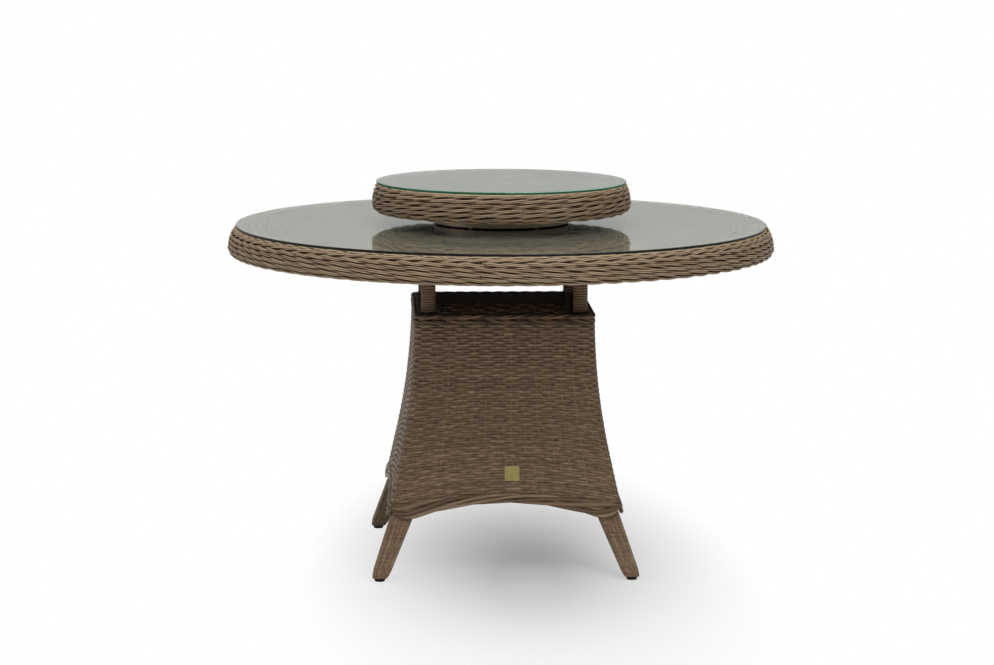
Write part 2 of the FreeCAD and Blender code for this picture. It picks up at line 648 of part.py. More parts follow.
def leg_tube(corner, degrees):
    """One tube, drawn in the upright plane of the table's diagonal and turned to its corner."""
    name = f"leg_tube_{corner}"
    body = doc.addObject("PartDesign::Body", name)
    path = new_sketch(body, f"{name}_path", "XZ_Plane")
    floor_reach = f"({KNEE_REACH} + dims.knee_height * tan(dims.splay_angle))"
    corners = [
        (TUBE_TOP_REACH, POST_HEAD),
        (TUBE_TOP_REACH, SKIRT_TOP, LEG_BEND_RADIUS, 1),
        (
            f"{TUBE_TOP_REACH} + {BEND_DROP} * sin({TUBE_LEAN})",
            f"{BEND_HEIGHT} - {BEND_DROP} * cos({TUBE_LEAN})",
        ),
        (
            f"{KNEE_REACH} - {KNEE_TANGENT} * sin({TUBE_LEAN})",
            f"dims.knee_height + {KNEE_TANGENT} * cos({TUBE_LEAN})",
            "dims.knee_radius",
            1,
        ),
        (
            f"{KNEE_REACH} + {KNEE_TANGENT} * sin(dims.splay_angle)",
            f"dims.knee_height - {KNEE_TANGENT} * cos(dims.splay_angle)",
        ),
        (floor_reach, "0"),
    ]
    outline(path, corners, closed=False)
    section = new_sketch(body, f"{name}_section", "XY_Plane", POST_HEAD)
    for radius in ("dims.leg_tube_radius", "(dims.leg_tube_radius - dims.leg_tube_wall)"):
        middle = FreeCAD.Vector(number(TUBE_TOP_REACH), 0, 0)
        edge = section.addGeometry(Part.Circle(middle, FreeCAD.Vector(0, 0, 1), number(radius)))
        lock(section, edge, "centre", (TUBE_TOP_REACH, "0"))
        index = section.addConstraint(Sketcher.Constraint("Radius", edge, number(radius)))
        section.setExpression(f"Constraints[{index}]", radius)
    doc.recompute()
    pipe = body.newObject("PartDesign::AdditivePipe", f"{name}_pipe")
    pipe.Profile = section
    pipe.Spine = (path, [f"Edge{i + 1}" for i in range(len(path.Shape.Edges))])
    low = "-dims.knee_height"
    far = f"{floor_reach} + dims.knee_height"
    top = "dims.glide_height"
    loop = [(TUBE_TOP_REACH, low), (far, low), (far, top), (TUBE_TOP_REACH, top)]
    through_cut(body, f"{name}_foot", "XZ_Plane", [loop])
    turn_about_axis(body, degrees - QUARTER_TURN / 2)
    return node(body, name)


def leg_axis_rod(name, radius, length, height):
    """A rod along the splayed foot of the front right leg, starting at a height."""
    offset = foot_offset(height)
    tilted = rod(name, radius, length)
    tilted.Placement = FreeCAD.Placement(FreeCAD.Vector(), FreeCAD.Rotation(FreeCAD.Vector(-1, -1, 0), 1))
    bind(tilted, {"Placement.Rotation.Angle": "dims.splay_angle"})
    place(tilted, offset, f"-{offset}", height)
    return tilted


def leg_sleeve(corner, degrees):
    """The woven foot: a tapered rounded square round the tube."""
    name = f"leg_sleeve_{corner}"
    body = doc.addObject("PartDesign::Body", f"{name}_body")
    sections = []
    ends = (("dims.glide_height", "dims.sleeve_half_bottom"), (SLEEVE_TOP, "dims.sleeve_half_top"))
    for i, (height, half) in enumerate(ends):
        sketch = new_sketch(body, f"{name}_section_{i}", "XY_Plane", height)
        offset = foot_offset(height)
        outline(sketch, rounded_square(offset, f"-{offset}", half, "dims.sleeve_round"))
        sections.append(sketch)
    loft = body.newObject("PartDesign::AdditiveLoft", f"{name}_loft")
    loft.Profile = sections[0]
    loft.Sections = sections[1:]
    loft.Ruled = True
    bore = leg_axis_rod(f"{name}_bore", "dims.leg_tube_radius", f"2 * {SLEEVE_TOP}", "0")
    sleeve = boolean("Cut", name, body, bore)
    turn_about_axis(sleeve, degrees)
    node(sleeve, name)


def foot_glide(corner, degrees):
    """A plug with a round foot, its stem inside the tube."""
    name = f"foot_glide_{corner}"
    offset = foot_offset("dims.glide_height")
    foot = doc.addObject("Part::Cone", f"{name}_foot")
    bind(foot, {"Radius1": "dims.glide_radius", "Radius2": "dims.glide_top_radius"})
    bind(foot, {"Height": "dims.glide_height"})
    place(foot, offset, f"-{offset}", "0")
    stem_radius = "dims.leg_tube_radius - dims.leg_tube_wall - dims.glide_plug_clearance"
    stem = leg_axis_rod(f"{name}_stem", stem_radius, "dims.glide_plug_length", "dims.glide_height / 2")
    glide = boolean("Fuse", name, foot, stem)
    turn_about_axis(glide, degrees)
    node(glide, name)


def biarc(start, start_way, end, end_way):
    """Two arcs that leave start along one unit vector, reach end along another and meet smoothly."""
    across = end - start
    both = start_way + end_way
    spread = 2 * (1 - start_way.dot(end_way))
    if spread < PARALLEL:
        reach = across.dot(across) / (2 * across.dot(both))
    else:
        lean = across.dot(both)
        reach = (math.sqrt(lean**2 + spread * across.dot(across)) - lean) / spread
    near = start + start_way * reach
    far = end - end_way * reach
    middle = (near + far) / 2
    edges = []
    for first, bend, last in ((start, near, middle), (middle, far, end)):
        chord_middle = (first + last) / 2
        half = (last - first).Length / 2
        rise = (bend - chord_middle).Length
        towards = (bend - chord_middle).normalize()
        radius = half * math.hypot(half, rise) / rise
        crown = chord_middle + towards * (radius - math.sqrt(radius**2 - half**2))
        edges.append(Part.Arc(first, crown, last).toShape())
    return edges


def self_gap(wire, thickness):
    """The least gap of a tube to itself, measured on points along its middle line.

    Each point is held against those from four to forty thicknesses further on.
    """
    points_per_thickness = 3
    points = wire.discretize(Distance=thickness / points_per_thickness)
    near = 4 * points_per_thickness
    far = 40 * points_per_thickness
    nearest = math.inf
    for i, here in enumerate(points):
        for there in points[i + near : i + far]:
            nearest = min(nearest, (there - here).Length)
    return nearest - thickness


def strand_path():
    """Middle line of the strand on the front right post: up from the rail, round the post, to the plate."""
    radius = number("dims.leg_tube_radius + dims.strand_gap + dims.strand_radius")
    bend = number("dims.strand_bend")
    straight = number("2 * dims.strand_radius")
    low = number(SKIRT_TOP)
    high = number(POST_HEAD)
    first = low + straight + bend
    last = high - straight - bend
    least_pitch = straight + number("dims.strand_spacing")
    turns = min(MOST_STRAND_TURNS, int((last - first) / least_pitch + ROUNDING))
    pitch = (last - first) / turns
    offset = number("dims.post_offset")
    middle = FreeCAD.Vector(offset, -offset, 0)
    up = FreeCAD.Vector(0, 0, 1)
    sideways = FreeCAD.Vector(1, 0, 0)

    def on_post(half_turns):
        angle = math.pi * half_turns - math.pi / 2
        height = first + pitch * half_turns / 2
        spot = middle + FreeCAD.Vector(radius * math.cos(angle), radius * math.sin(angle), height)
        climb = pitch / (2 * math.pi)
        way = FreeCAD.Vector(-radius * math.sin(angle), radius * math.cos(angle), climb).normalize()
        return spot, way

    begin, begin_way = on_post(0)
    finish, finish_way = on_post(2 * turns)
    lead = begin - sideways * bend - up * bend
    tail = finish + sideways * bend + up * bend
    edges = [Part.LineSegment(FreeCAD.Vector(lead.x, lead.y, low), lead).toShape()]
    edges += biarc(lead, up, begin, begin_way)
    for half in range(2 * turns):
        edges += biarc(*on_post(half), *on_post(half + 1))
    edges += biarc(finish, finish_way, tail, up)
    edges.append(Part.LineSegment(tail, FreeCAD.Vector(tail.x, tail.y, high)).toShape())
    return Part.Wire(edges)


def post_wraps():
    """One strand wound round the upper part of each post."""
    path = strand_path()
    thickness = number("2 * dims.strand_radius")
    print("post wrap, least gap to itself:", round(self_gap(path, thickness), 3), "mm")
    start = path.Vertexes[0].Point
    section = Part.Wire(Part.Circle(start, FreeCAD.Vector(0, 0, 1), thickness / 2).toShape())
    strand = path.makePipeShell([section], True, False)
    for i, corner in enumerate(CORNERS):
        wrap = doc.addObject("Part::Feature", f"post_wrap_{corner}")
        wrap.Shape = strand.copy()
        turn_about_axis(wrap, i * QUARTER_TURN)
        node(wrap, f"post_wrap_{corner}")


# Skirt


def skirt_corners(outward, inward, top, low):
    """Cross section of a strip of the front panel, in Y and Z, between two offsets from its outer face."""
    middle = "(dims.skirt_half_width + dims.skirt_bend_radius)"
    drop = f"({SKIRT_TOP} - {top})"

    def face(radius):
        head = (f"-{middle} + sqrt({radius}^2 - {drop}^2)", top)
        end_y = f"(-{middle} + {radius} * cos({FLARE}))"
        end_z = f"({SKIRT_TOP} - {radius} * sin({FLARE}))"
        foot = (f"{end_y} - ({end_z} - {low}) * tan({FLARE})", low)
        return head, (end_y, end_z), foot

    outer_radius = f"(dims.skirt_bend_radius - {outward})"
    inner_radius = f"(dims.skirt_bend_radius + {inward})"
    head, end, foot = face(outer_radius)
    inner_head, inner_end, inner_foot = face(inner_radius)
    return [(*head, outer_radius, -1), end, foot, inner_foot, (*inner_end, inner_radius, 1), inner_head]


def arch_space(raised, level):
    """The space between the skirt's lower edge, raised by some amount, and a level, drawn in X and Z."""
    arch = f"(dims.arch_radius + {raised})"
    dip = f"(dims.dip_radius - {raised})"
    arch_x = f"({arch} * sin({ARCH_ANGLE}))"
    arch_z = f"{ARCH_MIDDLE} + {arch} * cos({ARCH_ANGLE})"
    dip_x = f"({DIP_MIDDLE_X} + {dip} * sin(dims.dip_angle))"
    dip_z = f"{DIP_MIDDLE_Z} - {dip} * cos(dims.dip_angle)"
    far_z = f"{dip_z} + ({SKIRT_REACH} - {dip_x}) * tan(dims.dip_angle)"
    left = f"-{SKIRT_REACH}"
    return [
        (left, far_z),
        (f"-{dip_x}", dip_z, dip, 1),
        (f"-{arch_x}", arch_z, arch, -1),
        (arch_x, arch_z, dip, 1),
        (dip_x, dip_z),
        (SKIRT_REACH, far_z),
        (SKIRT_REACH, level),
        (left, level),
    ]


def under_arch(raised):
    return arch_space(raised, "0")


def over_arch(raised):
    return arch_space(raised, SKIRT_TOP)


def skirt_strip(name, degrees, outward, inward, top, cut_loops):
    """A strip of one side of the skirt with mitred ends, turned to its side."""
    body = doc.addObject("PartDesign::Body", name)
    sketch = new_sketch(body, f"{name}_section", "YZ_Plane")
    outline(sketch, skirt_corners(outward, inward, top, "dims.arch_height / 2"))
    pad = body.newObject("PartDesign::Pad", f"{name}_pad")
    pad.Profile = sketch
    pad.Midplane = True
    pad.setExpression("Length", f"2 * {SKIRT_REACH}")
    through_cut(body, f"{name}_edges", "XZ_Plane", cut_loops)
    near = "dims.leg_tube_radius"
    mitres = []
    for sign in ("", "-"):
        inner = f"{sign}{near}"
        outer = f"{sign}{SKIRT_REACH}"
        mitres.append([(inner, f"-{near}"), (outer, f"-{SKIRT_REACH}"), (outer, f"-{near}")])
    through_cut(body, f"{name}_mitres", "XY_Plane", mitres)
    turn_about_axis(body, degrees)
    return body


def skirt_panels(holes):
    """Four woven panels. The front one has holes for the name plate's rivets."""
    for i, side in enumerate(SIDES):
        loops = [under_arch("dims.hem_height")]
        panel = skirt_strip(f"panel_{side}", i * QUARTER_TURN, "0", "dims.skirt_wall", PANEL_TOP, loops)
        if side == "front":
            panel = boolean("Cut", "panel_front_drilled", panel, holes)
        node(panel, f"skirt_panel_{side}")


def skirt_hems():
    """The twisted hem along the arches, and the flat rails above it inside the panels."""
    hems = []
    rails = []
    hem_inside = "(dims.hem_thickness - dims.hem_proud)"
    hem_loops = [under_arch("0"), over_arch("dims.hem_height")]
    rail_low = "(dims.hem_height + dims.stay_radius)"
    rail_inside = "(dims.skirt_wall + dims.hem_rail_thickness)"
    rail_loops = [under_arch(rail_low), over_arch(f"({rail_low} + dims.hem_rail_height)")]
    for i, side in enumerate(SIDES):
        degrees = i * QUARTER_TURN
        hems.append(skirt_strip(f"hem_{side}", degrees, "dims.hem_proud", hem_inside, PANEL_TOP, hem_loops))
        name = f"hem_rail_{side}"
        rails.append(skirt_strip(name, degrees, "-dims.skirt_wall", rail_inside, PANEL_TOP, rail_loops))
    node(group("hems", hems), "skirt_hem_braid")
    node(group("hem_rails", rails), "skirt_hem_rails")


def square_ring(name, inner, outer, radius, base, height):
    """A square ring with rounded outer corners."""
    body = doc.addObject("PartDesign::Body", f"{name}_body")
    sketch = new_sketch(body, f"{name}_outline", "XY_Plane", base)
    outline(sketch, rounded_square("0", "0", outer, radius))
    outline(sketch, [(f"-{inner}", f"-{inner}"), (inner, f"-{inner}"), (inner, inner), (f"-{inner}", inner)])
    pad = body.newObject("PartDesign::Pad", f"{name}_pad")
    pad.Profile = sketch
    pad.setExpression("Length", height)
    return body


def skirt_top_ring():
    """The rail round the posts at the skirt's top, and the plaited border outside it."""
    rail_base = f"({SKIRT_TOP} - dims.top_rail_height)"
    rail = square_ring(
        "top_rail", RAIL_INSIDE, PANEL_INSIDE, "dims.leg_tube_wall", rail_base, "dims.top_rail_height"
    )
    node(rail, "skirt_top_rail")
    braid_outside = f"({PANEL_INSIDE} + dims.top_braid_thickness)"
    braid = square_ring(
        "top_braid", PANEL_INSIDE, braid_outside, "dims.top_braid_round", PANEL_TOP, "dims.top_braid_height"
    )
    node(braid, "skirt_top_braid")


def face_offset(height):
    """Panel's outer face to the table's axis at a height in its straight part."""
    return f"({FLARE_OFFSET} + (dims.flare_end - {height}) * tan({FLARE}))"


# Skirt stays


def skirt_stays(tubes):
    """A rod at each corner from the leg tube to the hem rails, its inner end cut to fit the tube."""
    tube_face = f"({foot_offset(STAY_HEIGHT)} * sqrt(2) + dims.leg_tube_radius / cos(dims.splay_angle))"
    start = f"({tube_face} + dims.leg_tube_wall / 2)"
    rail_face = f"({face_offset(STAY_HEIGHT)} - {HEM_RAIL_BACK})"
    end = f"({rail_face} * sqrt(2) - dims.stay_radius * (1 + tan({FLARE}) * sqrt(2)))"
    lying = FreeCAD.Rotation(FreeCAD.Vector(0, 1, 0), QUARTER_TURN)
    stays = []
    for i, tube in enumerate(tubes):
        angle = (i - 0.5) * QUARTER_TURN
        stay = rod(f"stay_{i}", "dims.stay_radius", f"{end} - {start}")
        heading = FreeCAD.Rotation(FreeCAD.Vector(0, 0, 1), angle)
        stay.Placement = FreeCAD.Placement(FreeCAD.Vector(), heading * lying)
        place(stay, f"{start} * cos({angle})", f"{start} * sin({angle})", STAY_HEIGHT)
        stays.append(boolean("Cut", f"stay_fitted_{i}", stay, tube))
    node(group("stays", stays), "skirt_stays")


# Name plate


def on_front_panel(item, across, turn, sunk="0"):
    """Sets an item on the front panel's sloping face, turned about X by an angle less the slope."""
    item.Placement = FreeCAD.Placement(FreeCAD.Vector(), FreeCAD.Rotation(FreeCAD.Vector(1, 0, 0), 1))
    bind(item, {"Placement.Rotation.Angle": f"{turn} deg - {FLARE}"})
    y = f"{sunk} * cos({FLARE}) - {face_offset('dims.plate_up')}"
    place(item, across, y, f"dims.plate_up - {sunk} * sin({FLARE})")


def rivet_places():
    return [f"dims.plate_across + {side} * dims.rivet_offset" for side in (-1, 1)]


def rivet_holes():
    """Rods through the name plate and the front panel, where the rivets go."""
    holes = []
    for i, across in enumerate(rivet_places()):
        hole = rod(f"rivet_hole_{i}", "dims.rivet_radius", "dims.skirt_wall + dims.plate_thickness")
        on_front_panel(hole, across, QUARTER_TURN, "dims.skirt_wall")
        holes.append(hole)
    return group("rivet_holes", holes)


def name_plate(holes):
    """A blank plate with rounded corners, held by two domed rivets."""
    body = doc.addObject("PartDesign::Body", "plain_plate")
    sketch = new_sketch(body, "plate_outline", "XZ_Plane")
    outline(sketch, rounded_square("0", "0", "(dims.plate_side / 2)", "dims.plate_round"))
    pad = body.newObject("PartDesign::Pad", "plate_pad")
    pad.Profile = sketch
    pad.setExpression("Length", "dims.plate_thickness")
    on_front_panel(body, "dims.plate_across", 0)
    node(boolean("Cut", "plate", body, holes), "name_plate")

    seat = "dims.plate_thickness"
    dome = "((dims.rivet_head_radius^2 + dims.rivet_head_height^2) / (2 * dims.rivet_head_height))"
    corners = [
        ("0", "-dims.skirt_wall"),
        ("dims.rivet_radius", "-dims.skirt_wall"),
        ("dims.rivet_radius", seat),
        ("dims.rivet_head_radius", seat, dome, 1),
        ("0", f"{seat} + dims.rivet_head_height"),
    ]
    rivets = []
    for i, across in enumerate(rivet_places()):
        rivet = turned(f"rivet_{i}", corners)
        on_front_panel(rivet, across, QUARTER_TURN)
        rivets.append(rivet)
    node(group("rivets", rivets), "name_plate_rivets")


# Lazy susan


def screws(label, places, head_base, shank_base, shank_length):
    """Screws with round heads, upright, with the head at either end."""
    made = []
    for i, (x, y) in enumerate(places):
        head = rod(f"{label}_head_{i}", "dims.screw_head_radius", "dims.screw_head_height", x, y, head_base)
        shank = rod(f"{label}_shank_{i}", "dims.screw_radius", shank_length, x, y, shank_base)
        made.append(boolean("Fuse", f"{label}_{i}", head, shank))
    return node(group(f"{label}_all", made), label)


def race(name, groove_edge, way):
    """A bearing race: a flat ring with a round groove for the balls. way is 1 if the groove is on top."""
    groove = "(dims.ball_radius + dims.ball_clearance)"
    half = f"sqrt({groove}^2 - (dims.race_gap / 2)^2)"
    flat_edge = f"({groove_edge} - {way} * dims.race_thickness)"
    corners = [
        ("dims.race_inner", flat_edge),
        ("dims.race_outer", flat_edge),
        ("dims.race_outer", groove_edge),
        (f"dims.ball_ring + {half}", groove_edge, groove, -way),
        (f"dims.ball_ring - {half}", groove_edge),
        ("dims.race_inner", groove_edge),
    ]
    return turned(name, corners)


def susan_base():
    """The clear feet, the ring on them and the lower race screwed to it."""
    pad_places = circle_places(BASE_PADS, "dims.base_pad_ring")
    height = "dims.base_pad_height"
    pads = rods_at("base_pads", pad_places, "dims.base_pad_radius", height, "dims.table_height")
    node(pads, "susan_base_pads")

    screw_places = circle_places(RACE_SCREWS, "dims.lower_screw_ring", 180 / RACE_SCREWS)
    seat = f"({LOWER_RACE} + dims.race_thickness - dims.screw_head_height)"
    length = "(dims.race_thickness - dims.screw_head_height + 2 * dims.base_ring_wall)"
    held = screws("bearing_lower_screws", screw_places, seat, f"{seat} - {length}", length)

    web = "(dims.base_ring_outer - dims.base_ring_wall)"
    low = f"({BASE_RING} + dims.base_ring_wall)"
    high = f"({LOWER_RACE} - dims.base_ring_wall)"
    corners = [
        ("dims.base_ring_inner", BASE_RING),
        ("dims.base_ring_outer", BASE_RING),
        ("dims.base_ring_outer", LOWER_RACE),
        ("dims.base_ring_inner", LOWER_RACE),
        ("dims.base_ring_inner", high),
        (web, high),
        (web, low),
        ("dims.base_ring_inner", low),
    ]
    node(boolean("Cut", "base_ring", turned("plain_base_ring", corners), held), "susan_base_ring")
    lower = race("plain_lower_race", f"({LOWER_RACE} + dims.race_thickness)", 1)
    node(boolean("Cut", "lower_race", lower, held), "bearing_lower_race")


def bearing_balls():
    """The balls, and the cage that keeps them apart."""
    places = circle_places(BALLS, "dims.ball_ring")
    balls = []
    for i, (x, y) in enumerate(places):
        ball = doc.addObject("Part::Sphere", f"ball_{i}")
        bind(ball, {"Radius": "dims.ball_radius"})
        place(ball, x, y, BALL_HEIGHT)
        balls.append(ball)
    node(group("balls", balls), "bearing_balls")

    base = f"({BALL_HEIGHT} - dims.cage_thickness / 2)"
    inner = "dims.ball_ring - dims.cage_half_width"
    outer = "dims.ball_ring + dims.cage_half_width"
    flat = ring("plain_cage", inner, outer, base, "dims.cage_thickness")
    hole_radius = "dims.ball_radius + dims.cage_clearance"
    holes = rods_at("cage_holes", places, hole_radius, "dims.cage_thickness", base)
    node(boolean("Cut", "cage", flat, holes), "bearing_cage")


def susan_bars(name, along, base):
    """Two tubes across the inside of the lazy susan, along axis 0 (X) or 1 (Y), fitted to a hoop."""
    length = "dims.susan_radius"
    half = "dims.susan_bar_width / 2"
    bars = []
    for i, side in enumerate((-1, 1)):
        low = [f"{side} * dims.susan_bar_offset - {half}", f"{side} * dims.susan_bar_offset - {half}", base]
        span = ["dims.susan_bar_width", "dims.susan_bar_width", SUSAN_BAR_HEIGHT]
        low[along] = f"-{length}"
        span[along] = f"2 * {length}"
        bars.append(box_tube(f"{name}_{i}", low, span, along, "dims.susan_bar_wall"))
    return fitted_bars(name, bars, SUSAN_HOOP_INSIDE, base, SUSAN_BAR_HEIGHT)


def susan_frame():
    """The upper race, the plate on it, and the tubes and hoops that turn with them."""
    race_places = circle_places(RACE_SCREWS, "dims.upper_screw_ring")
    seat = f"({UPPER_RACE} + dims.screw_head_height)"
    length = "dims.race_thickness - dims.screw_head_height + dims.bearing_plate_thickness"
    race_held = screws("bearing_upper_screws", race_places, UPPER_RACE, seat, length)
    upper = race("plain_upper_race", UPPER_RACE, -1)
    node(boolean("Cut", "upper_race", upper, race_held), "bearing_upper_race")

    along = "sqrt(dims.plate_screw_ring^2 - dims.susan_bar_offset^2)"
    plate_places = [(f"{x} * {along}", f"{y} * dims.susan_bar_offset") for x in (-1, 1) for y in (-1, 1)]
    plate_seat = f"({BEARING_PLATE} + dims.screw_head_height)"
    plate_length = "dims.bearing_plate_thickness - dims.screw_head_height + 2 * dims.susan_bar_wall"
    plate_held = screws("susan_plate_screws", plate_places, BEARING_PLATE, plate_seat, plate_length)

    flat = ring(
        "plain_bearing_plate",
        "dims.bearing_plate_inner",
        "dims.bearing_plate_outer",
        BEARING_PLATE,
        "dims.bearing_plate_thickness",
    )
    all_held = group("plate_fastenings", [race_held, plate_held])
    node(boolean("Cut", "bearing_plate", flat, all_held), "susan_bearing_plate")

    lower_bars = susan_bars("lower_bars", 0, SUSAN_BAR_BASE)
    node(boolean("Cut", "lower_bars_drilled", lower_bars, plate_held), "susan_lower_bars")
    deck_bar_base = f"({SUSAN_DECK_TOP} - dims.susan_rim_wall - {SUSAN_BAR_HEIGHT})"
    node(susan_bars("deck_bars", 1, deck_bar_base), "susan_deck_bars")
    hoop("susan_hoop_upper", SUSAN_HOOP, "dims.susan_hoop_tube", SUSAN_UPPER_HOOP)
    hoop("susan_hoop_lower", SUSAN_HOOP, "dims.susan_hoop_tube", SUSAN_LOWER_HOOP)
    hoop_struts(
        "susan_hoop_struts",
        SUSAN_STRUTS,
        SUSAN_HOOP,
        "dims.susan_hoop_tube",
        "dims.susan_strut_radius",
        SUSAN_LOWER_HOOP,
        SUSAN_UPPER_HOOP,
    )


def susan_top():
    """The woven band and disc of the lazy susan, and its pane."""
    woven_band(
        "susan_rim_weave",
        "dims.susan_radius",
        SUSAN_RIM_BASE,
        SUSAN_DECK_TOP,
        "dims.susan_rim_wall",
        "dims.susan_rim_upper_round",
        "dims.susan_rim_lower_round",
        SUSAN_TOP_LIP,
        SUSAN_LOW_LIP,
    )
    deck_radius = f"({SUSAN_TOP_LIP} - dims.deck_gap)"
    deck_base = f"({SUSAN_DECK_TOP} - dims.susan_rim_wall)"
    woven_disc("susan_deck_weave", deck_radius, deck_base, "dims.susan_rim_wall", SUSAN_DECK_RINGS)
    pad_ring = f"({SUSAN_TOP_LIP} - dims.susan_pad_inset)"
    pad_places = circle_places(SUSAN_PADS, pad_ring)
    pads = rods_at("susan_pads", pad_places, "dims.pad_radius", "dims.pad_height", SUSAN_DECK_TOP)
    node(pads, "susan_glass_pads")
    pane("susan_glass", "(dims.susan_radius - dims.susan_glass_inset)", SUSAN_GLASS_BASE)


# Assembly

table_top()
table_bars()
post_fastenings()
leg_tubes = []
for index, corner_name in enumerate(CORNERS):
    leg_tubes.append(leg_tube(corner_name, index * QUARTER_TURN))
    leg_sleeve(corner_name, index * QUARTER_TURN)
    foot_glide(corner_name, index * QUARTER_TURN)
post_wraps()
plate_rivet_holes = rivet_holes()
skirt_panels(plate_rivet_holes)
skirt_hems()
skirt_top_ring()
skirt_stays(leg_tubes)
name_plate(plate_rivet_holes)
susan_base()
bearing_balls()
susan_frame()
susan_top()
doc.recompute()

# Checks and export

faults = [item.Label for item in doc.Objects if {"Invalid", "Error"} & set(item.State)]
faults += [item.Label for item in nodes if item.Shape.isNull() or not item.Shape.isValid()]
if faults:
    raise RuntimeError(f"failed: {', '.join(faults)}")
os.makedirs("parts", exist_ok=True)
for item in nodes:
    item.Shape.exportStep(f"parts/{item.Label}.step")
print(len(nodes), "sub-parts written")
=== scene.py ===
"""Weaves and finishes a round wicker table with a glass top and a turning tray, on its CAD frame."""

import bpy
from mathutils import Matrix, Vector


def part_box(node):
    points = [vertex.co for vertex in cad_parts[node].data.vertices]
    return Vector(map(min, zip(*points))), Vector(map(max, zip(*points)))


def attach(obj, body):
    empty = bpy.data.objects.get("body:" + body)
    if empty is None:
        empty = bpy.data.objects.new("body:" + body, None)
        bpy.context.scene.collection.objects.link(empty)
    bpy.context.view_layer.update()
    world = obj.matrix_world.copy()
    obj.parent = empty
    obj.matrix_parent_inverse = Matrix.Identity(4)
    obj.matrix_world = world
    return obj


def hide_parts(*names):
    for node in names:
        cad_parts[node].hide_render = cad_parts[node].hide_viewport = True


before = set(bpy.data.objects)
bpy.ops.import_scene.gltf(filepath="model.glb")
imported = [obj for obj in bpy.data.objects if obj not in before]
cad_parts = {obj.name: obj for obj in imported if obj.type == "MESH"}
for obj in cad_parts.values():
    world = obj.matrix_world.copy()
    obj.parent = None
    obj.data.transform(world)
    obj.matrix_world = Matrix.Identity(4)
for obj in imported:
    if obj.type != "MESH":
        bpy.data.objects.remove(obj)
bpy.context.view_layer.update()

import math
from dataclasses import dataclass

import bpy
import numpy as np
from bpy.props import FloatProperty, FloatVectorProperty, IntProperty, PointerProperty
from bpy.types import Operator, Panel, PropertyGroup
from mathutils import Matrix, Vector

bl_info = {
    "name": "Wicker dining table",
    "version": (1, 0, 0),
    "blender": (4, 5, 0),
    "location": "3D View > Sidebar > Wicker table",
    "description": "Weaves and finishes a round wicker table with a glass top and a turning tray",
    "category": "Add Mesh",
}

STRAND_MAP = "strand"
PAINTED_SHADE_MAP = "depth"
STRAND_SIDES = 6
CORNERS = ("front_right", "back_right", "back_left", "front_left")
SIDES = ("front", "right", "back", "left")
QUARTER = math.pi / 2.0
FULL_TURN = 2.0 * math.pi
UPWARD = np.array([[[0.0, 0.0, 1.0]]])
WHITE = (1.0, 1.0, 1.0, 1.0)
PROUD = 0.0004
ROW_SHARE = 0.53
MAP_MARGIN = 0.02


def shade(red, green, blue):
    """Turns a colour as a screen shows it, 0 to 255, into the linear colour that a shader takes."""
    parts = [part / 255.0 for part in (red, green, blue)]
    return [part / 12.92 if part <= 0.04045 else ((part + 0.055) / 1.055) ** 2.4 for part in parts]


def dimmed(colour, share):
    """A colour with a share of its light."""
    return [part * share for part in colour]


# Settings that a user would change

COLOUR = {"subtype": "COLOR", "min": 0.0, "max": 1.0}


class WeaveSettings(PropertyGroup):
    """Counts and pitches of the weave"""

    rim_rows: IntProperty(
        name="Rim rows", description="Twined rows round the table's edge", default=13, min=4)
    rim_stakes: IntProperty(
        name="Rim stakes", description="Stakes round the table top, an even number", default=82, min=8)
    tray_rows: IntProperty(
        name="Tray rows", description="Twined rows round the tray's edge", default=13, min=4)
    tray_stakes: IntProperty(
        name="Tray stakes", description="Stakes round the tray, an even number", default=34, min=8)
    deck_rings: IntProperty(
        name="Deck rings", description="Woven rings under the table glass", default=58, min=8)
    tray_rings: IntProperty(
        name="Tray rings", description="Woven rings under the tray glass", default=26, min=8)
    skirt_rows: IntProperty(
        name="Skirt rows", description="Woven rows from the hem to the top braid", default=62, min=10)
    skirt_bays: IntProperty(
        name="Skirt bays", description="Bays between the stakes of one skirt side", default=15, min=3)
    braid_turns: IntProperty(
        name="Braid turns", description="Turns of each rope of the top braid", default=17, min=4)
    hem_turns: FloatProperty(
        name="Hem turns", description="Turns of the hem's strands on one side", default=1.25, min=0.25)
    foot_rows: IntProperty(
        name="Foot rows", description="Woven rows of each foot", default=34, min=6)
    foot_stakes: IntProperty(
        name="Foot stakes", description="Stakes round each foot, an even number", default=16, min=8)
    wrap_turns: IntProperty(
        name="Wrap turns", description="Turns of the strand wound round each post", default=24, min=10)


class ColourSettings(PropertyGroup):
    """Colours of the finishes"""

    strand_light: FloatVectorProperty(
        name="Light strand", description="Pale tone of strands", default=shade(170, 147, 118), **COLOUR)
    strand_middle: FloatVectorProperty(
        name="Middle strand", description="Main tone of strands", default=shade(128, 104, 80), **COLOUR)
    strand_dark: FloatVectorProperty(
        name="Dark strand", description="Dark tone of strands", default=shade(82, 60, 42), **COLOUR)
    # The deepest ramp stop, which the painted shade on covered strands reaches
    strand_deep: FloatVectorProperty(
        name="Deep strand", description="Tone of covered strands", default=shade(40, 27, 17), **COLOUR)
    powder_coat: FloatVectorProperty(
        name="Powder coat", description="Paint of the metal frame", default=shade(66, 52, 40), **COLOUR)
    plate_metal: FloatVectorProperty(
        name="Plate", description="Metal of the blank plate", default=shade(176, 160, 102), **COLOUR)
    # The table glass edge is painted near black, a painted shade for the dark wicker seen through it
    table_edge: FloatVectorProperty(
        name="Table glass edge", description="Edge of table glass", default=shade(15, 12, 5), **COLOUR)
    tray_edge: FloatVectorProperty(
        name="Tray glass edge", description="Edge of tray glass", default=shade(44, 92, 66), **COLOUR)
    # The upper arris is painted paler than the edge: a painted highlight where it faces up
    tray_arris_highlight: FloatVectorProperty(
        name="Tray glass arris", description="Upper arris of the tray glass",
        default=shade(140, 196, 168), **COLOUR)
    floor: FloatVectorProperty(
        name="Floor", description="Pale studio floor", default=shade(238, 238, 236), **COLOUR)


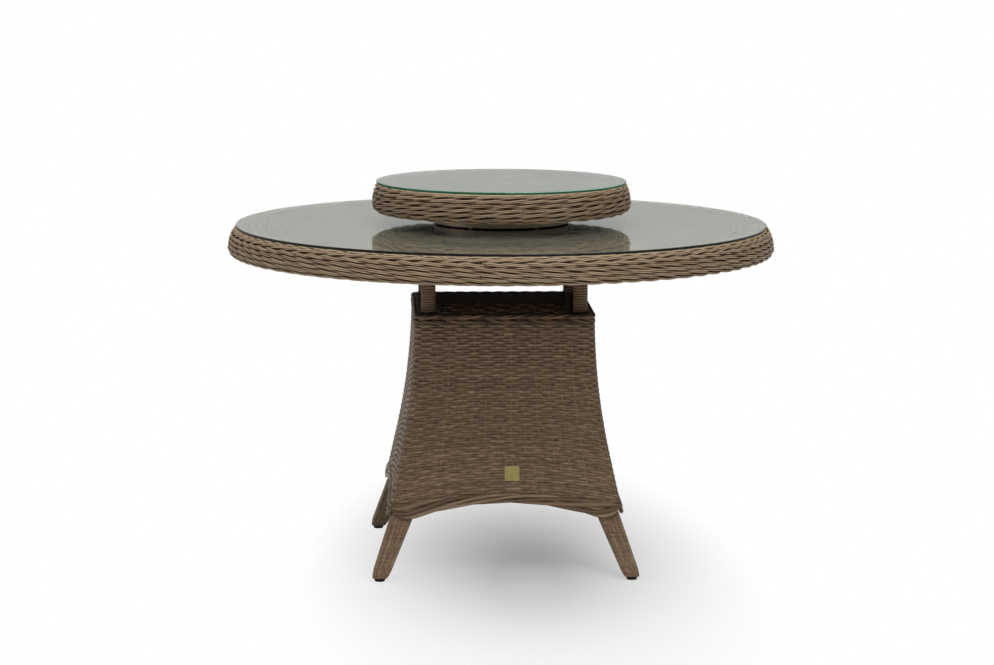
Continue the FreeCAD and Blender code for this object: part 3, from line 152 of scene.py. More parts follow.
class StageSettings(PropertyGroup):
    """Camera and light"""

    camera_place: FloatVectorProperty(
        name="Camera place", description="Where the camera stands", subtype="XYZ", unit="LENGTH",
        default=(-0.30101, -6.43934, 1.4503))
    camera_heading: FloatProperty(
        name="Camera heading", description="Turn to the right", unit="ROTATION", default=0.0454)
    camera_dip: FloatProperty(
        name="Camera dip", description="Tilt below the horizon", unit="ROTATION", default=0.1466)
    camera_roll: FloatProperty(
        name="Camera roll", description="Roll about the line of sight", unit="ROTATION", default=0.0027)
    lens: FloatProperty(
        name="Lens", description="Focal length on a 36 mm wide sensor", unit="CAMERA", default=106.3)
    overhead: FloatProperty(
        name="Overhead light", description="Power of the softbox above", unit="POWER", default=105.0)
    front: FloatProperty(
        name="Front light", description="Power of the softbox in front", unit="POWER", default=62.0)
    left: FloatProperty(
        name="Left light", description="Power of the softbox at the left", unit="POWER", default=24.0)
    ambient: FloatProperty(
        name="Ambient light", description="Light from all round on the object", default=0.19, min=0.0)
    shine: FloatProperty(
        name="Mirrored light", description="Studio's light in glass and metal", default=0.405, min=0.0)


# Strands

def full_turn(steps):
    """Directions at even steps all the way round."""
    return np.linspace(0.0, FULL_TURN, steps, endpoint=False)


def vectors(x, y, z):
    """Points or directions from their parts, each one number or many."""
    return np.stack(np.broadcast_arrays(x, y, z), axis=-1)


@dataclass
class Strands:
    """Like strands: their centre lines, the directions of their oval sections and half of each size.

    Directions, half sizes and depth may be shared by all strands or all steps. The depth is 0 in front
    and 1 behind other strands, and sets how much painted shade the wicker finish gives a strand.
    """

    centre: np.ndarray
    outward: np.ndarray
    across: np.ndarray
    half_out: float | np.ndarray
    half_across: float | np.ndarray
    closed: bool = False
    depth: float | np.ndarray = 0.0


def section_points(strands):
    """Points of the sections along each strand, which are as wide as their ovals."""
    turn = full_turn(STRAND_SIDES)
    lines = strands.centre.shape[:2]
    half_out = np.broadcast_to(strands.half_out, lines)[:, :, None, None]
    half_across = np.broadcast_to(strands.half_across, lines)[:, :, None, None]
    out = half_out * np.cos(turn)[:, None] * strands.outward[:, :, None, :]
    wide = np.sin(turn) / np.sin(turn).max()
    side = half_across * wide[:, None] * strands.across[:, :, None, :]
    return (strands.centre[:, :, None, :] + out + side).reshape(-1, 3)


def section_faces(strands, first_point):
    """Faces between neighbouring sections, and the end faces of strands that aren't closed."""
    rows, steps, _ = strands.centre.shape
    row = np.arange(rows)[:, None, None]
    step = np.arange(steps if strands.closed else steps - 1)[None, :, None]
    side = np.arange(STRAND_SIDES)[None, None, :]

    def corner(step, side):
        return first_point + (row * steps + step % steps) * STRAND_SIDES + side % STRAND_SIDES

    loop = ((0, 0), (1, 0), (1, 1), (0, 1))
    corners = [corner(step + ahead, side + beside) for ahead, beside in loop]
    faces = np.stack(corners, axis=-1).reshape(-1, 4).tolist()
    if not strands.closed:
        ends = corner(np.zeros_like(step[:, :1]), side).reshape(rows, STRAND_SIDES)
        faces += ends.tolist()
        faces += (ends + (steps - 1) * STRAND_SIDES)[:, ::-1].tolist()
    return faces


def section_map(strands, first_number):
    """Map of the faces: metres along a strand, and its number plus the share of the way round it."""
    centre = strands.centre
    if strands.closed:
        centre = np.concatenate([centre, centre[:, :1]], axis=1)
    length = np.linalg.norm(np.diff(centre, axis=1), axis=2)
    along = np.concatenate([np.zeros((len(length), 1)), np.cumsum(length, axis=1)], axis=1)
    number = first_number + np.arange(len(length))
    around = np.linspace(MAP_MARGIN, 1.0 - MAP_MARGIN, STRAND_SIDES + 1)
    quads = np.empty(length.shape + (STRAND_SIDES, 4, 2))
    quads[..., (0, 3), 0] = along[:, :-1, None, None]
    quads[..., (1, 2), 0] = along[:, 1:, None, None]
    quads[..., (0, 1), 1] = (number[:, None] + around[:-1])[:, None, :, None]
    quads[..., (2, 3), 1] = (number[:, None] + around[1:])[:, None, :, None]
    parts = [quads.reshape(-1, 2)]
    if not strands.closed:
        for end in (along[:, 0], along[:, -1]):
            cap = np.stack([end, number + 0.5], axis=-1)
            parts.append(np.repeat(cap, STRAND_SIDES, axis=0))
    return np.concatenate(parts)


def woven_piece(name, groups, finish, body, *replaced):
    """Makes one object of groups of strands, which rides on a body and stands for CAD nodes."""
    points, depths, faces, mapped = [], [], [], []
    point_count = strand_count = 0
    for strands in groups:
        points.append(section_points(strands))
        # Each point's depth, which the wicker finish turns into painted shade
        depth = np.broadcast_to(strands.depth, strands.centre.shape[:2])
        depths.append(np.repeat(depth.ravel(), STRAND_SIDES))
        faces += section_faces(strands, point_count)
        mapped.append(section_map(strands, strand_count))
        point_count += len(points[-1])
        strand_count += len(strands.centre)
    mesh = bpy.data.meshes.new(name)
    mesh.from_pydata(np.concatenate(points).tolist(), [], faces)
    mesh.uv_layers.new(name=STRAND_MAP).data.foreach_set("uv", np.concatenate(mapped).ravel())
    mesh.attributes.new(PAINTED_SHADE_MAP, "FLOAT", "POINT").data.foreach_set("value", np.concatenate(depths))
    mesh.shade_smooth()
    mesh.materials.append(finish)
    piece = bpy.data.objects.new(name, mesh)
    bpy.context.scene.collection.objects.link(piece)
    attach(piece, body)
    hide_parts(*replaced)


def wobble(strands, steps, reach, seed, waves=(3, 7, 12, 19)):
    """Slow uneven wander of strands that run once round, the same at both ends of the run."""
    random = np.random.default_rng(seed)
    run = full_turn(steps)
    wander = np.zeros((strands, steps))
    for wave in waves:
        start = random.uniform(0.0, FULL_TURN, (strands, 1))
        size = random.uniform(0.3, 1.0, (strands, 1))
        wander += size * np.sin(wave * run + start)
    return reach * wander / len(waves)


# Finishes

NOISE_SPAN = (0.3, 0.7)


def fill(tree, node, inputs):
    """Sets inputs of a node to values or to the sockets of other nodes."""
    for key, value in (inputs or {}).items():
        if isinstance(value, bpy.types.NodeSocket):
            tree.links.new(value, node.inputs[key])
        else:
            node.inputs[key].default_value = value


def new_finish(name, inputs=None):
    """A new node material and its main shader."""
    finish = bpy.data.materials.new(name)
    finish.use_nodes = True
    shader = finish.node_tree.nodes["Principled BSDF"]
    fill(finish.node_tree, shader, inputs)
    return finish, finish.node_tree, shader


def add(tree, kind, inputs=None, **settings):
    """Adds a node with its settings."""
    node = tree.nodes.new(kind)
    for key, value in settings.items():
        setattr(node, key, value)
    fill(tree, node, inputs)
    return node


def sums(tree, operation, *values):
    """Output of one Math node."""
    return add(tree, "ShaderNodeMath", dict(enumerate(values)), operation=operation).outputs[0]


def ramp(tree, factor, stops):
    """Colours along a ramp, as pairs of place and linear colour."""
    node = add(tree, "ShaderNodeValToRGB", {"Fac": factor})
    elements = node.color_ramp.elements
    while len(elements) < len(stops):
        elements.new(0.5)
    for element, (place, tone) in zip(elements, stops):
        element.position = place
        element.color = (*tone, 1.0)
    return node.outputs["Color"]


def spread(tree, value, low, high, new_low, new_high):
    """Maps a value from one range to another."""
    limits = {"From Min": low, "From Max": high, "To Min": new_low, "To Max": new_high}
    return add(tree, "ShaderNodeMapRange", {"Value": value, **limits}).outputs["Result"]


def noise(tree, vector, scale=1.0, detail=2.0):
    """Noise between 0 and 1 at a place."""
    inputs = {"Vector": vector, "Scale": scale, "Detail": detail}
    return add(tree, "ShaderNodeTexNoise", inputs).outputs["Fac"]


def stretched(tree, vector, scale):
    """A place scaled on each axis."""
    return add(tree, "ShaderNodeMapping", {"Vector": vector, "Scale": scale}).outputs["Vector"]


def paint(tree, shader, factor, stops):
    """Colours a shader along a ramp."""
    fill(tree, shader, {"Base Color": ramp(tree, factor, stops)})


def roughen(tree, shader, pattern, low, high, bumps=0.0, height=0.0):
    """Gives a shader a roughness between two limits and bumps, which both follow a noise."""
    fill(tree, shader, {"Roughness": spread(tree, pattern, *NOISE_SPAN, low, high)})
    if bumps:
        inputs = {"Height": pattern, "Strength": bumps, "Distance": height}
        fill(tree, shader, {"Normal": add(tree, "ShaderNodeBump", inputs).outputs["Normal"]})


def mixed(tree, share, first, second):
    """A mix of two shaders."""
    return add(tree, "ShaderNodeMixShader", {0: share, 1: first, 2: second}).outputs["Shader"]


def object_place(tree):
    """Place on the object, in metres."""
    return add(tree, "ShaderNodeTexCoord").outputs["Object"]


@dataclass
class Tone:
    """Look of a woven piece: its lift, a painted light or shade, its strands' own tones, their streaks
    and their sides' painted shade.
    """

    lift: float
    own_tone: float = 0.34
    streaks: float = 16.0
    painted_side_shade: float = -0.08


# Lifts paint light and shade onto the one wicker: the rims and tray paler for the light on them and to
# balance their painted side shade, the linings darker as painted shade behind the rows, the plait and
# posts darker as painted shade under the table top
TONES = {
    "wicker_rim": Tone(0.41, painted_side_shade=-0.42),
    "wicker_lining": Tone(-0.25),
    "wicker_table_deck": Tone(-0.06, own_tone=0.08),
    "wicker_tray": Tone(0.36, painted_side_shade=-0.42),
    "wicker_tray_lining": Tone(-0.25),
    "wicker_tray_deck": Tone(-0.06, own_tone=0.08),
    "wicker_skirt": Tone(0.03, own_tone=0.12, streaks=60.0),
    "wicker_plait": Tone(-0.16),
    "wicker_hem": Tone(0.01),
    "wicker_post": Tone(-0.09),
    "wicker_foot": Tone(0.06, own_tone=0.20, streaks=40.0),
}
TONE_STOPS = {"strand_deep": 0.0, "strand_dark": 0.22, "strand_middle": 0.5, "strand_light": 0.8}
TONE_START = -0.11
TONE_REACH = 0.80
GRAIN_REACH = 0.42
PAINTED_SHADE_BEHIND = -0.50
STRAND_APART = 7.3
STREAKS_ROUND = 1.2
GRAIN_SCALE = (60.0, 16.0, 1.0)
SIDE_SHADE_SPAN = (0.30, 0.46)


def wicker_finish(name):
    """Resin strands with tones of their own, streaks and a grain, with painted shade at their sides and
    behind other strands.
    """
    look = TONES[name]
    colours = bpy.context.scene.wicker_colours
    finish, tree, shader = new_finish(name, {"Specular IOR Level": 0.4})
    place = add(tree, "ShaderNodeUVMap", uv_map=STRAND_MAP).outputs["UV"]
    split = add(tree, "ShaderNodeSeparateXYZ", {"Vector": place})
    number = sums(tree, "FLOOR", split.outputs["Y"])
    around = sums(tree, "FRACT", split.outputs["Y"])
    lot = add(tree, "ShaderNodeTexWhiteNoise", {"W": number}, noise_dimensions="1D").outputs["Value"]
    parts = {"X": split.outputs["X"], "Y": around, "Z": sums(tree, "MULTIPLY", number, STRAND_APART)}
    line = add(tree, "ShaderNodeCombineXYZ", parts).outputs["Vector"]
    streak = noise(tree, stretched(tree, line, (look.streaks, STREAKS_ROUND, 1.0)))
    grain = noise(tree, stretched(tree, line, GRAIN_SCALE), detail=3.0)
    depth = add(tree, "ShaderNodeAttribute", attribute_name=PAINTED_SHADE_MAP).outputs["Fac"]
    facing = sums(tree, "ABSOLUTE", sums(tree, "SUBTRACT", around, 0.5))
    tone = sums(tree, "MULTIPLY", streak, TONE_REACH - look.own_tone)
    tone = sums(tree, "MULTIPLY_ADD", lot, look.own_tone, tone)
    tone = sums(tree, "MULTIPLY_ADD", grain, GRAIN_REACH, tone)
    # Painted shade on strands that lie behind others
    tone = sums(tree, "MULTIPLY_ADD", depth, PAINTED_SHADE_BEHIND, tone)
    # Painted shade on the sides of each strand
    tone = sums(tree, "ADD", tone, spread(tree, facing, *SIDE_SHADE_SPAN, look.painted_side_shade, 0.0))
    # The piece's lift: painted light or shade for where it stands
    tone = sums(tree, "ADD", tone, look.lift + TONE_START)
    paint(tree, shader, tone, [(place, getattr(colours, key)) for key, place in TONE_STOPS.items()])
    roughen(tree, shader, grain, 0.42, 0.62, bumps=0.5, height=0.0005)
    return finish


def powder_coat_finish(colours):
    """Painted tube with a fine pebbled skin."""
    finish, tree, shader = new_finish("powder_coat")
    place = object_place(tree)
    pebbles = noise(tree, place, scale=1400.0)
    cloud = noise(tree, place, scale=18.0)
    tone = colours.powder_coat
    paint(tree, shader, cloud, [(0.3, dimmed(tone, 0.75)), (0.7, tone)])
    roughen(tree, shader, pebbles, 0.42, 0.58, bumps=0.35, height=0.0003)
    return finish


# Turned metals: light and dark tone, least and most roughness
METALS = {
    "steel": (shade(118, 108, 98), shade(92, 84, 76), 0.34, 0.50),
    "aluminium": (shade(162, 144, 127), shade(134, 119, 104), 0.42, 0.58),
    "brass": (shade(206, 178, 108), shade(160, 132, 74), 0.26, 0.42),
}
BRUSH_SCALE = (60.0, 2400.0, 2400.0)
BRUSH_SHARE = 0.6


def turned_metal_finish(name):
    """Bare metal with the fine rings that turning leaves."""
    light, dark, low, high = METALS[name]
    finish, tree, shader = new_finish(name, {"Metallic": 1.0})
    split = add(tree, "ShaderNodeSeparateXYZ", {"Vector": object_place(tree)})
    squares = [sums(tree, "POWER", split.outputs[axis], 2.0) for axis in ("X", "Y")]
    reach = sums(tree, "SQRT", sums(tree, "ADD", *squares))
    rings = add(tree, "ShaderNodeCombineXYZ", {"X": reach, "Y": split.outputs["Z"]}).outputs["Vector"]
    lines = noise(tree, rings, scale=2600.0, detail=3.0)
    paint(tree, shader, lines, [(0.3, dark), (0.7, light)])
    roughen(tree, shader, lines, low, high, bumps=0.15, height=0.0001)
    return finish


def plate_finish(colours):
    """Thin sheet brushed from side to side."""
    finish, tree, shader = new_finish("brushed_plate", {"Metallic": 0.55})
    place = object_place(tree)
    lines = noise(tree, stretched(tree, place, BRUSH_SCALE), detail=3.0)
    cloud = noise(tree, place, scale=90.0)
    tone = sums(tree, "MULTIPLY", cloud, 1.0 - BRUSH_SHARE)
    tone = sums(tree, "MULTIPLY_ADD", lines, BRUSH_SHARE, tone)
    metal = colours.plate_metal
    paint(tree, shader, tone, [(0.3, dimmed(metal, 0.6)), (0.65, metal)])
    roughen(tree, shader, lines, 0.36, 0.52, bumps=0.2, height=0.0001)
    return finish


def black_plastic_finish():
    """Moulded plug, a little scuffed."""
    finish, tree, shader = new_finish("black_plastic", {"Specular IOR Level": 0.2})
    place = object_place(tree)
    grain = noise(tree, place, scale=700.0, detail=3.0)
    scuff = noise(tree, place, scale=120.0, detail=4.0)
    paint(tree, shader, scuff, [(0.35, shade(9, 8, 8)), (0.75, shade(24, 22, 20))])
    roughen(tree, shader, grain, 0.5, 0.7, bumps=0.3, height=0.0002)
    return finish


def let_light_through(tree, surface, tint):
    """Lets shadow rays pass a clear material, dimmed by a tint."""
    path = add(tree, "ShaderNodeLightPath")
    clear = add(tree, "ShaderNodeBsdfTransparent", {"Color": (*tint, 1.0)})
    whole = mixed(tree, path.outputs["Is Shadow Ray"], surface, clear.outputs["BSDF"])
    fill(tree, tree.nodes["Material Output"], {"Surface": whole})


PAD_TINT = (0.8, 0.82, 0.8)


def clear_pad_finish():
    """Soft clear dot, slightly cloudy."""
    finish, tree, shader = new_finish("clear_pad", {"Transmission Weight": 0.6, "IOR": 1.45})
    cloud = noise(tree, object_place(tree), scale=260.0)
    paint(tree, shader, cloud, [(0.3, shade(150, 150, 142)), (0.7, shade(186, 188, 180))])
    roughen(tree, shader, cloud, 0.12, 0.26, bumps=0.1, height=0.0002)
    let_light_through(tree, shader.outputs["BSDF"], PAD_TINT)
    return finish


PANE_TINT = (0.82, 0.85, 0.82)
EDGE_SPAN = (0.80, 0.97)
EDGE_SHARE = 0.96
TABLE_FACE = shade(236, 244, 236)
TRAY_FACE = shade(236, 246, 240)


def pane_finish(name, face, edge, arris):
    """Float glass, nearly clear, with painted tones on its ground edge and arris: the table's edge near
    black for the wicker it shows, the tray's edge green, and its upward arris paler as a painted
    highlight.
    """
    finish, tree, shader = new_finish(name, {"Transmission Weight": 0.97, "IOR": 1.5})
    place = object_place(tree)
    normal = add(tree, "ShaderNodeNewGeometry").outputs["Normal"]
    tilt = add(tree, "ShaderNodeSeparateXYZ", {"Vector": normal}).outputs["Z"]
    edge_share = spread(tree, sums(tree, "ABSOLUTE", tilt), *EDGE_SPAN, EDGE_SHARE, 0.0)
    smear = noise(tree, place, scale=9.0, detail=3.0)
    paint(tree, shader, smear, [(0.3, dimmed(face, 0.96)), (0.7, face)])
    roughen(tree, shader, smear, 0.02, 0.05)
    grind = noise(tree, place, scale=1500.0)
    ground = add(tree, "ShaderNodeBsdfPrincipled", {"Specular IOR Level": 0.2})
    # Edge to arris by how far the face turns up; where the arris tone is paler, this is a painted
    # highlight
    paint(tree, ground, tilt, [(0.35, edge), (0.6, arris)])
    roughen(tree, ground, grind, 0.3, 0.45)
    whole = mixed(tree, edge_share, shader.outputs["BSDF"], ground.outputs["BSDF"])
    let_light_through(tree, whole, PANE_TINT)
    return finish


def named(*words):
    """CAD nodes with one of some words in their names."""
    return [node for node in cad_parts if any(word in node for word in words)]


def dress(finish, *nodes):
    """Gives CAD nodes that keep their shape a finish."""
    for node in nodes:
        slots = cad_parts[node].data.materials
        slots.clear()
        slots.append(finish)


# Bands round the table top and the tray

@dataclass
class Band:
    """Outer face of a woven band: a flat top, two rounds and a flat base."""

    radius: float
    top: float
    base: float
    upper_round: float
    lower_round: float
    top_lip: float
    base_lip: float

    def __post_init__(self):
        self.middle = self.base + self.lower_round
        self.upper_centre = self.radius - self.upper_round
        self.lower_centre = self.radius - self.lower_round
        self.start = math.asin((self.top - self.middle) / self.upper_round)
        self.flat = self.upper_centre + self.upper_round * math.cos(self.start) - self.top_lip
        self.upper_arc = self.upper_round * self.start
        self.lower_arc = self.lower_round * QUARTER
        self.length = self.flat + self.upper_arc + self.lower_arc + self.lower_centre - self.base_lip

    def line(self, distance):
        """Radius, height and tilt of the face at distances along it from the inner lip on top."""
        on_upper = distance - self.flat
        on_lower = on_upper - self.upper_arc
        on_base = on_lower - self.lower_arc
        on_top = on_upper < 0.0
        below = on_lower > 0.0
        tilt = np.where(below, -on_lower / self.lower_round, self.start - on_upper / self.upper_round)
        tilt = np.where(on_top, QUARTER, np.maximum(tilt, -QUARTER))
        size = np.where(below, self.lower_round, self.upper_round)
        centre = np.where(below, self.lower_centre, self.upper_centre)
        radius = centre + size * np.cos(tilt) - np.maximum(on_base, 0.0)
        height = self.middle + size * np.sin(tilt)
        radius = np.where(on_top, self.top_lip + distance, radius)
        return radius, np.where(on_top, self.top, height), tilt


TABLE_BAND = {"upper_round": 0.065, "lower_round": 0.017, "top_lip": 0.556, "base_lip": 0.548}
TRAY_BAND = {"upper_round": 0.090, "lower_round": 0.020, "top_lip": 0.244, "base_lip": 0.238}


def band_of(node, sizes):
    """The band that a CAD node takes up."""
    low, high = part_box(node)
    return Band(high.x, high.z, low.z, **sizes)


TWIST_STEPS = 6
TWIST_OUT = 0.0024
TWIST_LIFT = 0.18
TWIST_PROUD = 0.0012
LOWER_FULL = 0.0022
STRAND_THICK = 0.0016
STRAND_SHARE = 0.140
PAIR_SHARE = 0.166
TWIST_DWELL = 0.7
TWIST_WANDER = 0.8
STRAND_WANDER = 0.0006
TABLE_OPPOSITE = (3,)
TRAY_OPPOSITE = (3, 4, 5, 6, 7, 8)
TABLE_SEED = 11
TRAY_SEED = 23
STAKE_HALF = 0.0017
STAKE_STEPS = 24
LINING_DEPTH = 0.0068
LINING_THICK = 0.0007


def band_lines(band, distance, turn, sunk=0.0):
    """Points at a depth under a band's face, with their outward and upward directions."""
    radius, height, tilt = band.line(distance)
    outward = vectors(np.cos(tilt) * np.cos(turn), np.cos(tilt) * np.sin(turn), np.sin(tilt))
    up = vectors(-np.sin(tilt) * np.cos(turn), -np.sin(tilt) * np.sin(turn), np.cos(tilt))
    face = vectors(radius * np.cos(turn), radius * np.sin(turn), height)
    return face - sunk * outward, outward, up


def twined_rows(band, total, rows, stakes, opposite, seed):
    """Pairs of weavers, two strands each, twisted round the stakes. Opposite rows lean the other way."""
    pitch = band.length / total
    steps = stakes * TWIST_STEPS
    weavers = 2 * len(rows)
    row = np.repeat(rows, 4)[:, None]
    partner = np.tile((0.0, 0.0, math.pi, math.pi), len(rows))[:, None]
    beside = np.tile((-1.0, 1.0), weavers)[:, None]
    turn = full_turn(steps)[None, :]
    wander = np.repeat(wobble(weavers, steps, TWIST_WANDER, seed), 2, axis=0)
    start = np.repeat(np.random.default_rng(seed).uniform(0.0, FULL_TURN, len(rows)), 4)[:, None]
    phase = turn * stakes / 2.0 + partner + start + wander
    lean = np.where(np.isin(row, opposite), 1.0, -1.0)
    front = np.cos(phase)
    behind = (1.0 - np.sign(front) * np.abs(front) ** TWIST_DWELL) / 2.0
    tilt = band.line((row + 0.5) * pitch)[2]
    out = TWIST_PROUD + LOWER_FULL * np.maximum(-np.sin(2.0 * tilt), 0.0)
    out = out - STRAND_THICK - 2.0 * TWIST_OUT * behind
    lift = lean * TWIST_LIFT * pitch * np.sin(phase) + beside * PAIR_SHARE * pitch
    lift = lift + wobble(2 * weavers, steps, STRAND_WANDER, seed + 1)
    face, outward, up = band_lines(band, (row + 0.5) * pitch, turn)
    centre = face + out[..., None] * outward + lift[..., None] * up
    half_up = STRAND_SHARE * pitch
    # The depth paints shade where a weaver lies behind its partner
    return Strands(centre, outward, up, STRAND_THICK, half_up, closed=True, depth=behind ** 2)


def band_lining(band, total, stakes):
    """Stakes that run down the band under the twined rows, and the close rows behind them. Their finish
    is painted dark, as the shade behind the rows.
    """
    stake_turn = (np.arange(stakes) * FULL_TURN / stakes)[:, None]
    distance = np.linspace(0.0, band.length, STAKE_STEPS)[None, :]
    centre, outward, _ = band_lines(band, distance, stake_turn, TWIST_OUT + STRAND_THICK)
    across = vectors(-np.sin(stake_turn), np.cos(stake_turn), 0.0)
    stakes_group = Strands(centre, outward, across, STAKE_HALF, STAKE_HALF)
    pitch = band.length / total
    row = np.arange(total)[:, None]
    turn = full_turn(2 * stakes)[None, :]
    centre, outward, up = band_lines(band, (row + 0.5) * pitch, turn, LINING_DEPTH)
    return [stakes_group, Strands(centre, outward, up, LINING_THICK, ROW_SHARE * pitch, closed=True)]


DISC_ZONES = ((0.08, 12), (0.16, 24), (0.32, 48), (1.0, 96))
DISC_STEPS = 4
DISC_SWING = 0.0008
DISC_SHARE = 0.52


def woven_disc(node, rings):
    """Woven rings that ride over and under stakes. The stakes grow in number outwards, zone by zone."""
    low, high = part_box(node)
    pitch = high.x / rings
    reach = (np.arange(rings) + 0.5) * pitch
    groups = []
    start = 0.0
    for end, stakes in DISC_ZONES:
        ring = np.flatnonzero((reach >= start) & (reach < end))[:, None]
        start = end
        if not len(ring):
            continue
        radius = reach[ring]
        turn = full_turn(stakes * DISC_STEPS)[None, :]
        height = (low.z + high.z) / 2.0 + DISC_SWING * np.cos(turn * stakes / 2.0 + math.pi * ring)
        centre = vectors(radius * np.cos(turn), radius * np.sin(turn), height)
        inward = vectors(-np.cos(turn), -np.sin(turn), 0.0)
        half_out = (high.z - low.z) / 2.0 - DISC_SWING
        groups.append(Strands(centre, UPWARD, inward, half_out, DISC_SHARE * pitch, closed=True))
    return groups


# Flared square skirt

SKIRT_TOP = 0.565
SKIRT_TOP_HALF = 0.1955
SKIRT_BEND = 1.450
SKIRT_KNEE = 0.260
PANEL_TOP = 0.545
ARCH_CROWN = 0.1635
ARCH_RADIUS = 0.600
ARCH_REACH = 0.185
ARCH_ANGLE = math.asin(ARCH_REACH / ARCH_RADIUS)
DIP_RADIUS = 0.060
DIP_ANGLE = math.radians(55.0)
DIP_END = DIP_RADIUS * math.sin(DIP_ANGLE)
DIP_X = (ARCH_RADIUS + DIP_RADIUS) * math.sin(ARCH_ANGLE)
DIP_Z = ARCH_CROWN - ARCH_RADIUS + (ARCH_RADIUS + DIP_RADIUS) * math.cos(ARCH_ANGLE)
HEM_CROWN = 0.1845
HEM_RADIUS = 1.25
HEM_LEAST = 0.010
CORNER_ROUND = 0.020
SKIRT_SWING = 0.0009
SKIRT_THICK = 0.0012
SKIRT_SHARE = 0.61
SKIRT_STEPS = 6
SKIRT_PAINTED_SHADE = 0.10
CORNER_SWING = 0.4
CORNER_FADE = 16
ROW_WANDER = 0.0007
ROW_SEED = 40
BAY_WANDER = 0.45
BAY_SEED = 50
BAY_FADE = 8
SKIRT_STAKE_HALF = 0.0019
SKIRT_STAKE_STEPS = 20
HEIGHT_ROUNDS = 4


def skirt_slope(height):
    """How fast the skirt widens downwards."""
    rise = SKIRT_TOP - np.maximum(height, SKIRT_KNEE)
    return rise / np.sqrt(SKIRT_BEND ** 2 - rise ** 2)


def skirt_half(height):
    """Half the skirt's width at a height."""
    rise = SKIRT_TOP - np.maximum(height, SKIRT_KNEE)
    curved = SKIRT_TOP_HALF + SKIRT_BEND - np.sqrt(SKIRT_BEND ** 2 - rise ** 2)
    return curved + np.maximum(SKIRT_KNEE - height, 0.0) * skirt_slope(height)


def lower_edge(x):
    """Height of the skirt's lower edge: an arch, a dip beside each leg and a rise to the corner."""
    x = np.abs(x)
    arch = ARCH_CROWN - ARCH_RADIUS + np.sqrt(ARCH_RADIUS ** 2 - np.minimum(x, ARCH_REACH) ** 2)
    beside = np.clip(x - DIP_X, -DIP_END, DIP_END)
    dip = DIP_Z - np.sqrt(DIP_RADIUS ** 2 - beside ** 2)
    return np.where(x < ARCH_REACH, arch, dip)


def hem_top(x):
    """Height of the hem's upper edge, a flat arch that nears the lower edge at the corners."""
    arch = HEM_CROWN - HEM_RADIUS + np.sqrt(HEM_RADIUS ** 2 - x ** 2)
    return np.maximum(arch, lower_edge(x) + HEM_LEAST)


def skirt_height(along, share):
    """Height at a share of the way from the hem to the top, along a side from corner -1 to corner 1."""
    height = np.broadcast_to(PANEL_TOP, np.broadcast(along, share).shape)
    for _ in range(HEIGHT_ROUNDS):
        lower = hem_top(along * skirt_half(height)) - HEM_LEAST / 2.0
        height = lower + share * (PANEL_TOP - lower)
    return height


def skirt_face(along, height, half=None):
    """Points, outward and upward directions of the front side, whose corners are rounded."""
    if half is None:
        half = skirt_half(height)
    reach = np.abs(along) * half
    bend = np.clip((reach - half + CORNER_ROUND) / CORNER_ROUND, 0.0, 1.0) * QUARTER / 2.0
    flat = half - CORNER_ROUND
    x = np.sign(along) * (np.minimum(reach, flat) + CORNER_ROUND * np.sin(bend))
    y = -(flat + CORNER_ROUND * np.cos(bend))
    point = vectors(x, y, height)
    slope = skirt_slope(height)
    lean = 1.0 / np.sqrt(1.0 + slope ** 2)
    aside = np.sign(along) * np.sin(bend)
    ahead = np.cos(bend)
    outward = vectors(aside * lean, -ahead * lean, slope * lean)
    up = vectors(-aside * slope * lean, ahead * slope * lean, lean)
    return point, outward, up


def turned(lines, side):
    """Turns what is made for the front to another side."""
    spin = np.array(Matrix.Rotation(side * QUARTER, 3, "Z"))
    return lines @ spin.T


def skirt_side(side, rows, bays):
    """Plain weave of one skirt side, with its stakes."""
    share = ((np.arange(rows) + 0.5) / rows)[:, None]
    along = np.linspace(-1.0, 1.0, bays * SKIRT_STEPS + 1)[None, :]
    height = skirt_height(along, share)
    point, outward, up = skirt_face(along, height)
    stake = side * bays + (along + 1.0) / 2.0 * bays
    wander = wobble(rows, along.shape[1], ROW_WANDER, ROW_SEED + side)
    shift = wobble(rows, along.shape[1], BAY_WANDER, BAY_SEED + side) * (1.0 - along ** BAY_FADE)
    wave = np.cos(math.pi * (stake + shift + np.arange(rows)[:, None]))
    swing = SKIRT_SWING * (1.0 + CORNER_SWING * along ** CORNER_FADE)
    out = swing * wave - SKIRT_SWING - SKIRT_THICK + PROUD
    centre = point + out[..., None] * outward + wander[..., None] * up
    pitch = (PANEL_TOP - skirt_height(along, 0.0)) / rows
    lines = [turned(part, side) for part in (centre, outward, up)]
    # The depth paints shade where a strand dips behind a stake
    weave = Strands(*lines, SKIRT_THICK, SKIRT_SHARE * pitch, depth=SKIRT_PAINTED_SHADE * (1.0 - wave))
    stake_along = np.linspace(-1.0, 1.0, bays + 1)[:-1, None]
    stake_height = skirt_height(stake_along, np.linspace(1.0, 0.0, SKIRT_STAKE_STEPS)[None, :])
    point, outward, _ = skirt_face(stake_along, stake_height)
    centre = point - (SKIRT_SWING + SKIRT_THICK) * outward
    across = vectors(-outward[..., 1], outward[..., 0], 0.0)
    across = across / np.linalg.norm(across, axis=-1, keepdims=True)
    lines = [turned(part, side) for part in (centre, outward, across)]
    stakes = Strands(*lines, SKIRT_STAKE_HALF, SKIRT_STAKE_HALF)
    return [weave, stakes]


def around_skirt(*parts):
    """Joins front lines of points or directions and their turns to other sides into closed lines."""
    sides = range(len(SIDES))
    return [np.concatenate([turned(part[:, :-1], side) for side in sides], axis=1) for part in parts]


HEM_SWING = 0.0016
HEM_THICK = 0.0021
HEM_STRANDS = 5
HEM_AHEAD = 0.2
HEM_TWIST_WIDTH = 1.45 / HEM_STRANDS
HEM_FILL_WIDTH = 1.2 / HEM_STRANDS
BORDER_STEPS = 161
PLAIT_STRANDS = 3
PLAIT_SWING_UP = 0.0026
PLAIT_HALF_UP = 0.0027

